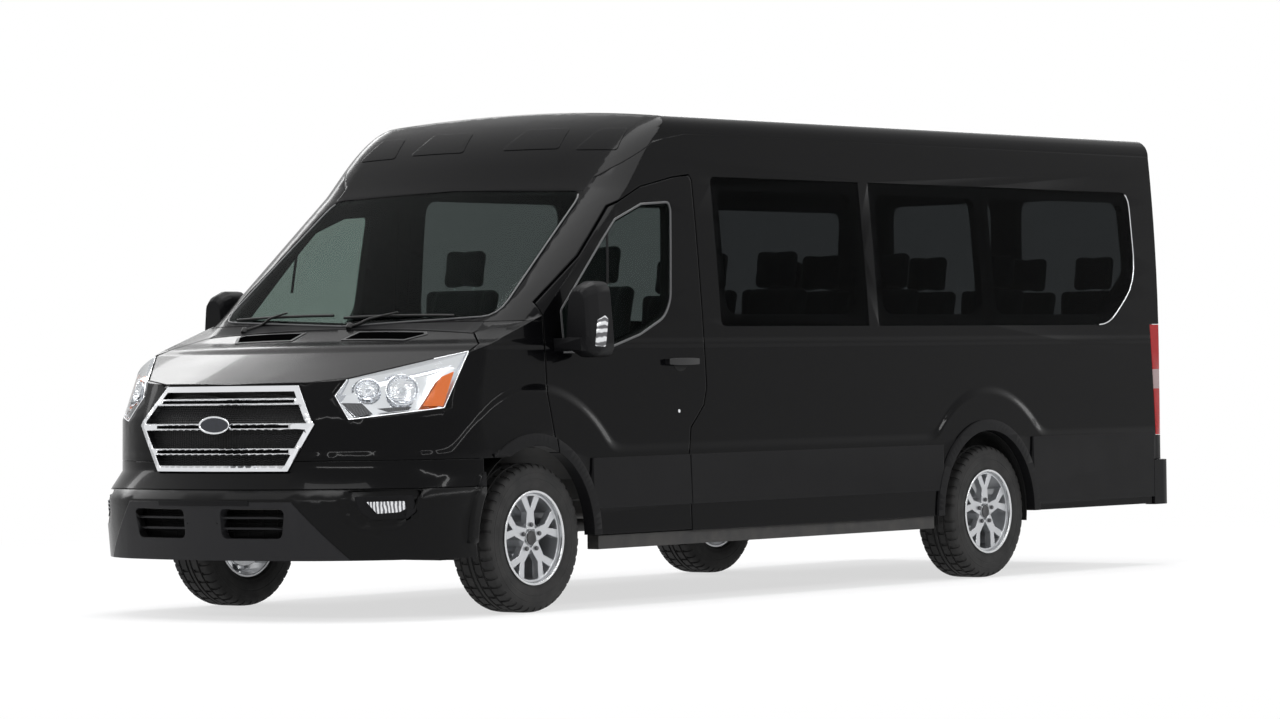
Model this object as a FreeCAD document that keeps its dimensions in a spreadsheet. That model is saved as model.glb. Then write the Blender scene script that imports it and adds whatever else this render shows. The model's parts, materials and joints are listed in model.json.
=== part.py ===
import FreeCAD, Part
import math
import os
from types import SimpleNamespace
from FreeCAD import Placement, Rotation, Vector

# Minibus. While it is built, x points to the vehicle's left, y to its rear from the front axle
# and z up from the ground. Placement then moves it so that y starts at the middle of its length.

doc = FreeCAD.newDocument("minibus")
sheet = doc.addObject("Spreadsheet::Sheet", "Sheet")

SIZES = {
    # Overall
    "wheelbase": 3750,
    "track": 1736,
    "nose_reach": 1171,
    "tail_reach": 5530,
    "half_width": 1020,
    "roof_height": 2353,
    "wall": 50,
    "shut_gap": 8,
    "seat_gap": 0.3,
    "overrun": 60,
    # Nose: heights and how far the surface lies ahead of the front axle
    "skirt_height": 273,
    "skirt_reach": 1143,
    "bumper_height": 547,
    "ledge_height": 666,
    "ledge_reach": 1056,
    "grille_top_height": 900,
    "grille_top_reach": 1051,
    "hood_front_height": 1056,
    "hood_front_reach": 975,
    "hood_rear_height": 1312,
    "hood_rear_reach": 200,
    "hood_crown_radius": 11000,
    "nose_radius": 2044,
    "nose_corner_radius": 695,
    # Cabin plan and side section
    "pillar_radius": 300,
    "windshield_radius": 6275,
    "tail_radius": 130,
    "cabin_base_height": 1150,
    "windshield_top_height": 1966,
    "windshield_top_setback": 651,
    "flank_ease": 0.2,
    "shoulder_height": 730,
    "waist_half": 981,
    "waist_height": 1472,
    "gutter_half": 912,
    "gutter_height": 2215,
    "roof_corner_radius": 105,
    "roof_edge_drop": 41,
    "rear_face": 5485,
    # Wheels and arches
    "tyre_radius": 342,
    "tyre_width": 235,
    "bead_radius": 204,
    "tyre_shoulder": 14,
    "rim_width": 190,
    "rim_wall": 12,
    "spoke_depth": 34,
    "spoke_width": 62,
    "hub_radius": 74,
    "hub_cap_radius": 34,
    "mount_face_offset": 60,
    "disc_radius": 150,
    "disc_thickness": 26,
    "disc_offset": 58,
    "stub_radius": 25,
    "stub_clearance": 0.05,
    "arch_radius": 420,
    "arch_lip": 56,
    "lip_stand": 12,
    "front_arch_shift": 40,
    "rear_arch_shift": 60,
    "liner_radius": 492,
    "liner_thickness": 10,
    "kingpin_offset": 740,
    "kingpin_radius": 12,
    "upright_radius": 26,
    "upright_half_height": 90,
    # Floor and frame
    "floor_height": 600,
    "floor_thickness": 40,
    "rail_inner": 430,
    "rail_width": 70,
    "rail_depth": 110,
    "sill_height": 336,
    # Side mouldings
    "moulding_low": 463,
    "moulding_high": 697,
    "moulding_stand": 10,
    # Glass
    "glass_recess": 1,
    "glass_thickness": 6,
    "glass_edge_gap": 3,
    "band_low": 1306,
    "band_high": 2019,
    # Front door
    "door_front": 75,
    "door_length": 1210,
    "door_low": 342,
    "door_height": 1680,
    # Grille
    "grille_mid_half": 527,
    "grille_mid_height": 878,
    "grille_top_half": 398,
    "grille_rim_high": 1053,
    "grille_bottom_half": 395,
    "grille_rim_low": 669,
    "grille_rim_width": 26,
    "grille_bar_pitch": 112,
    "grille_bar_line": 8,
    "grille_bar_gap": 14,
    # Front panels
    "hood_thickness": 32,
    "hood_cut_front": 968,
    "hood_front_sweep": 45,
    "hood_lamp_front": 838,
    "hood_lamp_rear": 420,
    "hood_side_rear": 330,
    "hood_cut_rear": 218,
    "lamp_length": 590,
    "lamp_low": 898,
    "lamp_rise": 299,
    "lamp_start": -1450,
    "lamp_end": -720,
    "lamp_depth": 46,
    "bumper_low": 590,
    "bumper_line": 713,
    "trim_gap": 3,
    "pillar_split": 1330,
    "cowl_half": 800,
    # Lower intake and lamp recesses of the bumper
    "intake_inner": 110,
    "intake_top_half": 455,
    "intake_low_half": 430,
    "intake_low": 372,
    "intake_high": 505,
    "intake_corner": 30,
    "slat_thickness": 10,
    "fog_inner": 700,
    "fog_outer": 945,
    "fog_low": 425,
    "fog_high": 584,
    "fog_corner": 26,
    # Windshield
    "shield_top_half": 768,
    "shield_top_side": 1943,
    "shield_low_half": 845,
    "shield_low_side": 1352,
    "shield_low": 1318,
    "shield_corner": 70,
    "glass_lap": 18,
    # Side windows, sliding door and rear
    "band_front": 1440,
    "band_rear": 5232,
    "band_cut": 300,
    "pane_joint_1": 2765,
    "pane_post": 90,
    "pane_joint_2": 3786,
    "window_frame": 55,
    "window_corner": 80,
    "pane_corner": 34,
    "band_corner": 300,
    "door_window_corner": 30,
    "door_window_sweep": 150,
    "slider_front": 1390,
    "slider_rear": 2722,
    "slider_high": 2110,
    "quarter_low": 373,
    "quarter_high": 722,
    "bumper_split": 5312,
    "rear_bumper_high": 572,
    "rear_door_half": 872,
    "rear_door_low": 590,
    "rear_door_high": 2172,
    "gutter_line": 2222,
    "rear_window_inner": 70,
    "rear_window_outer": 790,
    "rear_window_low": 1290,
    "tail_lamp_front": 5345,
    "tail_lamp_low": 708,
    "tail_lamp_high": 1305,
    "tail_lamp_depth": 34,
    # Grille depth, panel grooves and the front carrier
    "groove_depth": 20,
    "carrier_half": 470,
    "carrier_front": 905,
    "carrier_thickness": 50,
    "beam_low": 500,
    "beam_high": 620,
    "beam_thickness": 60,
    "beam_reach": 800,
    "radiator_low": 400,
    "grille_depth": 40,
    "grille_plate": 10,
    "grille_stand": 7,
    "grille_end_block": 400,
    # Running gear
    "stub_reach": 45,
    "disc_inner": 795,
    "disc_inner_local": -73,
    "hub_recess": 14,
    "spoke_drop": 4,
    "cap_depth": 10,
    "caliper_near": 90,
    "caliper_far": 175,
    "caliper_outer": 838,
    "caliper_half": 45,
    "caliper_gap": 6,
    "arm_width": 60,
    "arm_thickness": 16,
    "joint_gap": 0.3,
    "beam_half": 80,
    "beam_depth": 60,
    "strut_offset": 680,
    "strut_radius": 26,
    "strut_top": 808,
    "spring_radius": 58,
    "spring_low": 700,
    "axle_tube_radius": 45,
    "axle_half": 690,
    "differential_radius": 125,
    "differential_half": 85,
    "pinion_radius": 58,
    "pinion_reach": 210,
    "shaft_radius": 35,
    "spring_half_length": 700,
    "leaf_thickness": 30,
    "leaf_eye": 50,
    "saddle_half": 60,
    "tunnel_half": 480,
    "bulkhead_rear": 20,
    "bulkhead_thickness": 20,
    "house_inner": 715,
    "house_front_inner": 500,
    "tower_height": 40,
    "rail_front_reach": 900,
    "sill_width": 30,
    "sill_step": 35,
    "jack_place": 1000,
    "jack_half": 60,
    "jack_depth": 12,
    # Engine and underbody
    "engine_half": 280,
    "mount_bar": 60,
    "engine_front": 750,
    "engine_rear": 150,
    "engine_low": 330,
    "engine_high": 850,
    "gearbox_half": 130,
    "gearbox_end": 450,
    "tank_inner": 150,
    "tank_front": 1300,
    "tank_rear": 2300,
    "tank_low": 380,
    "pipe_radius": 32,
    "pipe_offset": 350,
    "pipe_start": 700,
    "pipe_end": 3050,
    "pipe_height": 450,
    "silencer_radius": 78,
    "silencer_length": 600,
    "silencer_front": 2350,
    "hanger_width": 30,
    # Cabin
    "seat_height": 330,
    "seat_depth": 480,
    "cushion_thickness": 110,
    "back_thickness": 110,
    "rest_gap": 25,
    "rest_half": 125,
    "rest_height": 160,
    "bench_width": 430,
    "rear_back_top": 1480,
    "first_row_y": 1750,
    "last_row_y": 4700,
    "front_seat_y": 680,
    "front_seat_width": 500,
    "front_back_top": 1500,
    "driver_offset": 420,
    "dash_low": 860,
    "dash_high": 1290,
    "dash_rear": 360,
    "column_radius": 28,
    "column_length": 250,
    "wheel_y": 470,
    "wheel_z": 1160,
    "steer_radius": 190,
    "steer_grip": 14,
    "steer_hub_radius": 45,
    "steer_spoke_radius": 10,
    # Mirrors and rear bumper
    "mirror_inner": 1035,
    "mirror_outer": 1205,
    "mirror_front": 150,
    "mirror_rear": 330,
    "mirror_arm": 44,
    "mirror_taper": 30,
    "mirror_corner": 62,
    "mirror_low": 1160,
    "mirror_high": 1510,
    "door_face_x": 960,
    "rear_bumper_low": 330,
    # Fastening points
    "plate_hole_radius": 3,
    "plate_hole_offset": 89,
    "plate_hole_height": 440,
    "drill_turn": 45,
    "plate_boss_half": 16,
    "plate_boss_front": 1130,
    "plate_boss_rear": 1085,
    "rack_hole_radius": 4.2,
    "rack_hole_offset": 650,
    "rack_hole_front": 1500,
    "rack_hole_rear": 3700,
    "tow_hole_radius": 6.5,
    "tow_hole_front": 5000,
    "tow_hole_rear": 5200,
}
for row, (name, size) in enumerate(SIZES.items(), start=1):
    sheet.set("A%d" % row, name)
    sheet.set("B%d" % row, str(size))
    sheet.setAlias("B%d" % row, name)
doc.recompute()
D = SimpleNamespace(**{name: float(sheet.get(name)) for name in SIZES})

MIDDLE = (D.tail_reach - D.nose_reach) / 2
PLACE = Placement(Vector(0, -MIDDLE, 0), Rotation())
LEFT = 1
RIGHT = -1
AXLE = D.tyre_radius
PARTS = []


# Helpers for outlines and prisms

def keep(label, shape):
    """A sub-part made with Part's own functions."""
    part = doc.addObject("Part::Feature", label)
    part.Label = label
    part.Shape = shape
    part.Placement = PLACE.multiply(shape.Placement)
    PARTS.append(part)
    return part


def polygon(points):
    return Part.makePolygon(points + [points[0]])


def side_prism(outline, x_from, x_to):
    """A prism across the vehicle from an outline of (y, z) points."""
    face = Part.Face(polygon([Vector(x_from, y, z) for y, z in outline]))
    return face.extrude(Vector(x_to - x_from, 0, 0))


def front_prism(outline, y_from, y_to):
    """A prism along the vehicle from an outline of (x, z) points."""
    face = Part.Face(polygon([Vector(x, y_from, z) for x, z in outline]))
    return face.extrude(Vector(0, y_to - y_from, 0))


def plan_prism(outline, z_from, z_to):
    """An upright prism from an outline of (x, y) points."""
    face = Part.Face(polygon([Vector(x, y, z_from) for x, y in outline]))
    return face.extrude(Vector(0, 0, z_to - z_from))


def block(x_pair, y_pair, z_pair):
    return Part.makeBox(x_pair[1] - x_pair[0], y_pair[1] - y_pair[0], z_pair[1] - z_pair[0],
                        Vector(x_pair[0], y_pair[0], z_pair[0]))


def cross_cylinder(radius, x_from, x_to, y, z):
    return Part.makeCylinder(radius, x_to - x_from, Vector(x_from, y, z), Vector(1, 0, 0))


def mirrored(shape):
    return shape.mirror(Vector(0, 0, 0), Vector(1, 0, 0))


def rounded(outline, radii):
    """An outline with its corners bent round in short edges, by one radius or one for each corner."""
    points = []
    count = len(outline)
    for index, corner in enumerate(outline):
        radius = radii[index] if isinstance(radii, list) else radii
        if radius == 0:
            points.append(corner)
            continue
        here = Vector(corner[0], corner[1], 0)
        before = Vector(*outline[index - 1], 0) - here
        after = Vector(*outline[(index + 1) % count], 0) - here
        turn = math.pi - before.getAngle(after)
        reach = min(radius * math.tan(turn / 2), before.Length / 2, after.Length / 2)
        start = here + before.normalize() * reach
        end = here + after.normalize() * reach
        for step in range(CORNER_STEPS + 1):
            t = step / CORNER_STEPS
            bend = start * (1 - t) ** 2 + here * (2 * t * (1 - t)) + end * t ** 2
            points.append((bend.x, bend.y))
    return points


CORNER_STEPS = 4


# The outer form. Every surface moves inward by the same inset, so that the wall, the glass
# and the trim follow one form.

def plan_wire(z, front_y, front_radius, corner_radius, inset):
    """The outline seen from above: curved front, round corners, straight sides and tail."""
    half = D.half_width - inset
    corner = corner_radius - inset
    nose = front_radius - inset
    centre_y = front_y + nose
    corner_x = half - corner
    corner_y = centre_y - math.sqrt((nose - corner) ** 2 - corner_x ** 2)
    out = (Vector(corner_x, corner_y, z) - Vector(0, centre_y, z)).normalize()
    meet = Vector(corner_x, corner_y, z) + out * corner
    bend = (out + Vector(1, 0, 0)).normalize()
    middle = Vector(corner_x, corner_y, z) + bend * corner
    tip = Vector(0, centre_y - nose, z)
    rear = D.rear_face - inset
    tail = D.tail_radius - inset
    turn = tail * math.sqrt(0.5)

    def flip(point):
        return Vector(-point.x, point.y, point.z)

    side = Vector(half, corner_y, z)
    rear_side = Vector(half, rear - tail, z)
    rear_turn = Vector(half - tail + turn, rear - tail + turn, z)
    rear_end = Vector(half - tail, rear, z)
    return Part.Wire([
        Part.Arc(flip(meet), tip, meet).toShape(),
        Part.Arc(meet, middle, side).toShape(),
        Part.LineSegment(side, rear_side).toShape(),
        Part.Arc(rear_side, rear_turn, rear_end).toShape(),
        Part.LineSegment(rear_end, flip(rear_end)).toShape(),
        Part.Arc(flip(rear_end), flip(rear_turn), flip(rear_side)).toShape(),
        Part.LineSegment(flip(rear_side), flip(side)).toShape(),
        Part.Arc(flip(side), flip(middle), flip(meet)).toShape(),
    ])


def leaning_prism(wire, lean, rise):
    return Part.Face(wire).extrude(Vector(0, lean, rise))


def nose_form(inset):
    """Bumper, grille face and fenders: one plan outline that steps back as it rises."""
    slope = (D.grille_top_reach - D.hood_front_reach) / (D.hood_front_height - D.grille_top_height)
    top = D.hood_rear_height + D.overrun
    low = D.skirt_height - (D.overrun if inset else 0)
    levels = [
        (low, D.skirt_reach),
        (D.bumper_height, D.nose_reach),
        (D.ledge_height, D.ledge_reach),
        (D.grille_top_height, D.grille_top_reach),
        (top, D.grille_top_reach - slope * (top - D.grille_top_height)),
    ]
    form = None
    for (z_low, reach_low), (z_high, reach_high) in zip(levels, levels[1:]):
        wire = plan_wire(z_low, inset - reach_low, D.nose_radius, D.nose_corner_radius, inset)
        piece = leaning_prism(wire, reach_low - reach_high, z_high - z_low)
        form = piece if form is None else form.fuse(piece)
    return form.common(hood_prism(inset))


def hood_slope():
    rise = D.hood_rear_height - D.hood_front_height
    return rise / (D.hood_front_reach - D.hood_rear_reach)


def hood_prism(inset):
    """All that lies under the crowned hood surface, ahead of the cabin."""
    start = -D.nose_reach - D.overrun
    stop = D.door_front + D.overrun
    centre = D.hood_front_height + hood_slope() * (start + D.hood_front_reach) - inset
    half = D.half_width + D.overrun
    drop = D.hood_crown_radius - math.sqrt(D.hood_crown_radius ** 2 - half ** 2)
    low = -D.roof_height
    corners = [Vector(half, start, centre - drop), Vector(half, start, low),
               Vector(-half, start, low), Vector(-half, start, centre - drop)]
    edges = [Part.Arc(corners[3], Vector(0, start, centre), corners[0]).toShape()]
    for first, second in zip(corners, corners[1:]):
        edges.append(Part.LineSegment(first, second).toShape())
    run = stop - start
    return Part.Face(Part.Wire(edges)).extrude(Vector(0, run, run * hood_slope()))


def windshield_slope():
    rise = D.windshield_top_height - D.hood_rear_height
    return rise / (D.hood_rear_reach + D.windshield_top_setback)


FOREHEAD_SHARES = [(0.0, 0.0), (0.19, 0.30), (0.40, 0.60), (0.66, 0.86), (1.0, 1.05)]
FOREHEAD_RUN_SHARE = 1.65
EDGE_INSET_SHARE = 0.5
EDGE_BEND_SHARES = (0.24, 0.27)
EDGE_END_SHARE = 0.85


def cabin_form(inset):
    """The cabin: upright below the belt, raked at the windshield and rounded at the forehead."""
    base_y = -D.hood_rear_reach - (D.hood_rear_height - D.cabin_base_height) / windshield_slope()
    low = D.skirt_height - (D.overrun if inset else 0)
    wire = plan_wire(low, base_y + inset, D.windshield_radius, D.pillar_radius, inset)
    form = leaning_prism(wire, 0, D.cabin_base_height - low)
    wire = plan_wire(D.cabin_base_height, base_y + inset, D.windshield_radius, D.pillar_radius, inset)
    rise = D.windshield_top_height - D.cabin_base_height
    shield = Part.makeLoft([
        wire,
        plan_wire(D.windshield_top_height, D.windshield_top_setback + inset,
                  D.windshield_radius, D.pillar_radius, inset),
    ], True, True)
    form = form.fuse(shield)
    forehead_rise = D.roof_height - D.windshield_top_height
    forehead_run = forehead_rise * FOREHEAD_RUN_SHARE
    wires = []
    for run_share, rise_share in FOREHEAD_SHARES:
        wires.append(plan_wire(D.windshield_top_height + rise_share * forehead_rise,
                               D.windshield_top_setback + inset + run_share * forehead_run,
                               D.windshield_radius, D.pillar_radius, inset))
    return form.fuse(Part.makeLoft(wires, True, False))


def section_wire(inset, y):
    """The section across the cabin: upright flank, leaning side, round roof edge, low crown."""
    low = D.skirt_height - D.overrun * 2
    flank = D.half_width + D.flank_ease - inset
    crown = D.roof_height - inset
    edge = D.roof_height - D.roof_edge_drop - inset
    radius = D.roof_corner_radius - inset * EDGE_INSET_SHARE
    gutter = D.gutter_half - inset
    points = [
        Vector(flank, y, low),
        Vector(flank, y, D.shoulder_height),
        Vector(D.waist_half - inset, y, D.waist_height),
        Vector(gutter, y, D.gutter_height),
        Vector(gutter - radius * EDGE_BEND_SHARES[0], y, edge - radius * EDGE_BEND_SHARES[1]),
        Vector(gutter - radius * EDGE_END_SHARE, y, edge),
        Vector(0, y, crown),
    ]

    def flip(point):
        return Vector(-point.x, point.y, point.z)

    return Part.Wire([
        Part.LineSegment(points[0], points[1]).toShape(),
        Part.Arc(points[1], points[2], points[3]).toShape(),
        Part.Arc(points[3], points[4], points[5]).toShape(),
        Part.Arc(points[5], points[6], flip(points[5])).toShape(),
        Part.Arc(flip(points[5]), flip(points[4]), flip(points[3])).toShape(),
        Part.Arc(flip(points[3]), flip(points[2]), flip(points[1])).toShape(),
        Part.LineSegment(flip(points[1]), flip(points[0])).toShape(),
        Part.LineSegment(flip(points[0]), points[0]).toShape(),
    ])


def section_prism(inset, y_from, y_to):
    return Part.Face(section_wire(inset, y_from)).extrude(Vector(0, y_to - y_from, 0))


def outer_form(inset):
    section = section_prism(inset, -D.nose_reach - D.overrun, D.tail_reach)
    form = nose_form(inset).common(section).fuse(cabin_form(inset).common(section))
    return form.removeSplitter()


def offset_prism(outline, gap, x_from, x_to):
    """A side prism whose outline is grown by a gap, or shrunk by a negative one."""
    wire = polygon([Vector(x_from, y, z) for y, z in outline]).makeOffset2D(gap)
    return Part.Face(wire).extrude(Vector(x_to - x_from, 0, 0))


def offset_front(outline, gap, y_from, y_to):
    wire = polygon([Vector(x, y_from, z) for x, z in outline]).makeOffset2D(gap)
    return Part.Face(wire).extrude(Vector(0, y_to - y_from, 0))


def offset_plan(outline, gap, z_from, z_to):
    wire = polygon([Vector(x, y, z_from) for x, y in outline]).makeOffset2D(gap)
    return Part.Face(wire).extrude(Vector(0, 0, z_to - z_from))


FAR = D.half_width + D.overrun * 2
TOP = D.roof_height + D.overrun
FRONT = -D.nose_reach - D.overrun
REAR = D.tail_reach + D.overrun
FRONT_ARCH_Y = -D.front_arch_shift
REAR_ARCH_Y = D.wheelbase - D.rear_arch_shift


# Raised zones: arch lips, side mouldings and the lower rear quarter

def arch_disc(y, radius):
    return cross_cylinder(radius, -FAR, FAR, y, AXLE)


def arch_lips():
    zones = []
    for y in (FRONT_ARCH_Y, REAR_ARCH_Y):
        ring = arch_disc(y, D.arch_radius + D.arch_lip).cut(arch_disc(y, D.arch_radius - D.overrun))
        zones.append(ring.common(block((-FAR, FAR), (FRONT, REAR), (D.sill_height, TOP))))
    return zones


def side_bands():
    front_end = FRONT_ARCH_Y + D.arch_radius
    middle = block((-FAR, FAR), (front_end, REAR_ARCH_Y - D.arch_radius), (D.moulding_low, D.moulding_high))
    rear = block((-FAR, FAR), (REAR_ARCH_Y + D.arch_radius, D.bumper_split),
                 (D.quarter_low, D.quarter_high))
    return [middle, rear]


OUTER = outer_form(0)
INNER = outer_form(D.wall)
LIP_FORM = outer_form(-D.lip_stand)
BAND_FORM = outer_form(-D.moulding_stand)
GLASS_FACE = outer_form(D.glass_recess)
GLASS_SEAT = outer_form(D.glass_recess + D.glass_thickness)
GLASS_LAYER = GLASS_FACE.cut(GLASS_SEAT)
GROOVE_FORM = outer_form(D.groove_depth)
CABIN_ROOM = outer_form(D.wall + D.seat_gap)

raised = OUTER
for zone in arch_lips():
    raised = raised.fuse(LIP_FORM.common(zone))
for zone in side_bands():
    raised = raised.fuse(BAND_FORM.common(zone))
SHELL = raised.cut(INNER)
for arch_y in (FRONT_ARCH_Y, REAR_ARCH_Y):
    SHELL = SHELL.cut(arch_disc(arch_y, D.arch_radius))
SHELL = SHELL.cut(block((-FAR, FAR), (FRONT_ARCH_Y, D.bumper_split), (0, D.sill_height)))


# Outlines of the openings and panels, as shares of the sizes they follow

def placed(shares, start_a, size_a, start_b, size_b):
    return [(start_a + a * size_a, start_b + b * size_b) for a, b in shares]


DOOR_SHARES = [
    (0.045, 0.0), (0.88, 0.0), (0.866, 0.207), (0.883, 0.286), (0.976, 0.35), (1.0, 0.40),
    (1.0, 0.985), (0.985, 1.0), (0.88, 0.992), (0.665, 0.962), (0.474, 0.905), (0.251, 0.765),
    (0.0, 0.636), (0.0, 0.396), (0.037, 0.266), (0.045, 0.237),
]
DOOR_WINDOW_SHARES = [
    (0.105, 0.618), (0.39, 0.812), (0.485, 0.872), (0.66, 0.917), (0.84, 0.925), (0.85, 0.90),
    (0.805, 0.647), (0.76, 0.597), (0.594, 0.548), (0.413, 0.515), (0.276, 0.502), (0.11, 0.5),
]
DOOR_OUTLINE = placed(DOOR_SHARES, D.door_front, D.door_length, D.door_low, D.door_height)
DOOR_WINDOW_RADII = [D.door_window_corner, 0, 0, 0, D.door_window_corner, D.door_window_corner,
                     D.door_window_sweep, D.door_window_sweep, D.door_window_sweep, 0, 0, 0]
DOOR_WINDOW = rounded(placed(DOOR_WINDOW_SHARES, D.door_front, D.door_length, D.door_low, D.door_height),
                      DOOR_WINDOW_RADII)

SHIELD_OUTLINE = rounded([
    (-D.shield_top_half, D.shield_top_side), (0, D.windshield_top_height),
    (D.shield_top_half, D.shield_top_side), (D.shield_low_half, D.shield_low_side),
    (0, D.shield_low), (-D.shield_low_half, D.shield_low_side),
], D.shield_corner)

HOOD_HALF = [
    (0.0, -D.hood_cut_front), (0.42, -D.hood_cut_front + D.hood_front_sweep),
    (0.60, -D.hood_lamp_front), (0.935, -D.hood_lamp_rear), (0.915, -D.hood_side_rear),
    (0.80, -D.hood_cut_rear), (0.0, -D.hood_cut_rear),
]
HOOD_OUTLINE = [(share * D.half_width, y) for share, y in HOOD_HALF]
HOOD_OUTLINE += [(-x, y) for x, y in reversed(HOOD_OUTLINE[1:-1])]

GRILLE_OUTLINE = [
    (-D.grille_mid_half, D.grille_mid_height), (-D.grille_top_half, D.grille_rim_high),
    (D.grille_top_half, D.grille_rim_high), (D.grille_mid_half, D.grille_mid_height),
    (D.grille_bottom_half, D.grille_rim_low), (-D.grille_bottom_half, D.grille_rim_low),
]

PANE_LIMITS = [(D.band_front, D.pane_joint_1 - D.pane_post), (D.pane_joint_1, D.pane_joint_2),
               (D.pane_joint_2 + D.glass_edge_gap, D.band_rear)]


def pane_outline(index):
    """One pane of the side band. The band's own corners are round, its lower rear one in a wide sweep."""
    front, rear = PANE_LIMITS[index]
    low, high = D.band_low, D.band_high
    if index == 0:
        return rounded([(front, low), (rear, low), (rear, high), (front, high)],
                       [D.pane_corner, 0, 0, D.pane_corner])
    if index < len(PANE_LIMITS) - 1:
        return [(front, low), (rear, low), (rear, high), (front, high)]
    return rounded([(front, low), (rear - D.band_cut, low), (rear, low + D.band_cut * BAND_CUT_SHARE),
                    (rear, high), (front, high)], [0, D.band_corner, D.band_corner, D.window_corner, 0])


BAND_CUT_SHARE = 0.75


def window_outline(index):
    """The hole in the wall behind a pane."""
    front, rear = PANE_LIMITS[index]
    low, high = D.band_low + D.window_frame, D.band_high - D.window_frame
    front, rear = front + D.window_frame, rear - D.window_frame
    if index < len(PANE_LIMITS) - 1:
        corners = [(front, low), (rear, low), (rear, high), (front, high)]
    else:
        cut = D.band_cut
        corners = [(front, low), (rear - cut, low), (rear, low + cut * BAND_CUT_SHARE), (rear, high),
                   (front, high)]
    return rounded(corners, D.window_corner)


def rebate(prism):
    """What a pane's seat takes from the wall."""
    return prism.cut(GLASS_SEAT)


def groove(prism):
    """The shallow part of a joint line, wider than the tight fit below it."""
    return prism.cut(GROOVE_FORM)


# Front end

def lamp_prism(gap, depth_from, depth_to):
    """The headlamp's opening, driven in along a level line that looks at the corner."""
    turn = math.radians(LAMP_TURN)
    across = Vector(math.cos(turn), math.sin(turn), 0)
    inward = Vector(-math.sin(turn), math.cos(turn), 0)
    start = inward * depth_from
    points = [start + across * (s * D.lamp_length) + Vector(0, 0, D.lamp_low + t * D.lamp_rise)
              for s, t in LAMP_SHARES]
    wire = polygon(points)
    if gap:
        wire = wire.makeOffset2D(gap)
    return Part.Face(wire).extrude(inward * (depth_to - depth_from))


LAMP_TURN = 37
LAMP_SHARES = [(-0.139, 0.354), (-0.031, 0.0), (0.681, 0.154), (0.864, 1.0), (-0.046, 0.595)]

hood_zone = plan_prism(HOOD_OUTLINE, D.grille_top_height, TOP)
hood_gap_zone = offset_plan(HOOD_OUTLINE, D.shut_gap, D.grille_top_height, TOP)
hood_blank = nose_form(0).cut(hood_prism(D.hood_thickness)).common(section_prism(0, FRONT, D.door_front))
hood = hood_blank.common(hood_zone)
hood_clear = hood_gap_zone.common(block((-FAR, FAR), (FRONT, -D.hood_cut_rear + D.shut_gap),
                                        (D.grille_top_height + D.overrun, TOP)))

shield_zone = front_prism(SHIELD_OUTLINE, -D.hood_front_reach, D.door_length)
windshield = GLASS_LAYER.common(offset_front(SHIELD_OUTLINE, -D.glass_edge_gap,
                                             -D.hood_front_reach, D.door_length))
shield_hole = offset_front(SHIELD_OUTLINE, -D.glass_lap, -D.hood_front_reach, D.door_length)
shield_cut = rebate(shield_zone).fuse(shield_hole)

lamp_near = lamp_prism(0, D.lamp_start, D.lamp_end)
lamp_hole = lamp_prism(D.seat_gap, D.lamp_start, D.lamp_end)
lamp_groove = groove(lamp_prism(D.trim_gap, D.lamp_start, D.lamp_end))
grille_zone = front_prism(GRILLE_OUTLINE, FRONT, -D.hood_front_reach + D.overrun)
split_y = FRONT_ARCH_Y - D.arch_radius + D.overrun
door_zone = side_prism(DOOR_OUTLINE, 0, FAR)
door_clear = offset_prism(DOOR_OUTLINE, D.shut_gap, 0, FAR)

nose_skin = SHELL.common(block((-FAR, FAR), (FRONT, D.door_front + D.overrun), (0, TOP)))
nose_skin = nose_skin.cut(hood_clear)
for cutter in (lamp_hole, lamp_groove):
    nose_skin = nose_skin.cut(cutter).cut(mirrored(cutter))
nose_skin = nose_skin.cut(grille_zone).cut(shield_cut).cut(door_clear).cut(mirrored(door_clear))


def joint_line(height):
    """The visible groove of a level joint."""
    return groove(block((-FAR, FAR), (FRONT, D.door_front), (height, height + D.trim_gap)))


bumper_box = block((-FAR, FAR), (FRONT, split_y), (D.bumper_low, D.bumper_line))
front_bumper = nose_skin.common(bumper_box)
valance_box = block((-FAR, FAR), (FRONT, split_y), (0, D.bumper_low - D.seat_gap))
valance = nose_skin.common(valance_box).cut(joint_line(D.bumper_low - D.trim_gap))
INTAKE_OUTLINE = rounded([
    (D.intake_inner, D.intake_high), (D.intake_top_half, D.intake_high),
    (D.intake_low_half, D.intake_low), (D.intake_inner, D.intake_low)], D.intake_corner)
FOG_SHARES = [(0.0, 1.0), (1.0, 1.0), (0.88, 0.28), (0.7, 0.0), (0.24, 0.0), (0.06, 0.34)]
FOG_OUTLINE = rounded([(D.fog_inner + a * (D.fog_outer - D.fog_inner),
                        D.fog_low + b * (D.fog_high - D.fog_low)) for a, b in FOG_SHARES], D.fog_corner)
SLAT_SHARES = [0.3, 0.66]


def plate_holes(panel, y_from):
    """Two holes through a bumper's face, each side of the middle."""
    for side in (LEFT, RIGHT):
        start = Vector(side * D.plate_hole_offset, y_from, D.plate_hole_height)
        drill = Part.makeCylinder(D.plate_hole_radius, D.overrun * 4, start, Vector(0, 1, 0))
        drill.rotate(start, Vector(0, 1, 0), D.drill_turn)
        panel = panel.cut(drill)
    return panel


def bumper_details(panel):
    """The lower intake on each side of the plate's block, its slats, and the lamp recesses."""
    intake = front_prism(INTAKE_OUTLINE, FRONT, -D.carrier_front)
    slats = GROOVE_FORM.cut(INNER).common(intake)
    recess = groove(front_prism(FOG_OUTLINE, FRONT, split_y))
    for cutter in (intake, recess):
        panel = panel.cut(cutter).cut(mirrored(cutter))
    for share in SLAT_SHARES:
        z = D.intake_low + share * (D.intake_high - D.intake_low)
        slat = slats.common(block((0, FAR), (FRONT, 0), (z, z + D.slat_thickness)))
        panel = panel.fuse(slat).fuse(mirrored(slat))
    return panel


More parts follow.
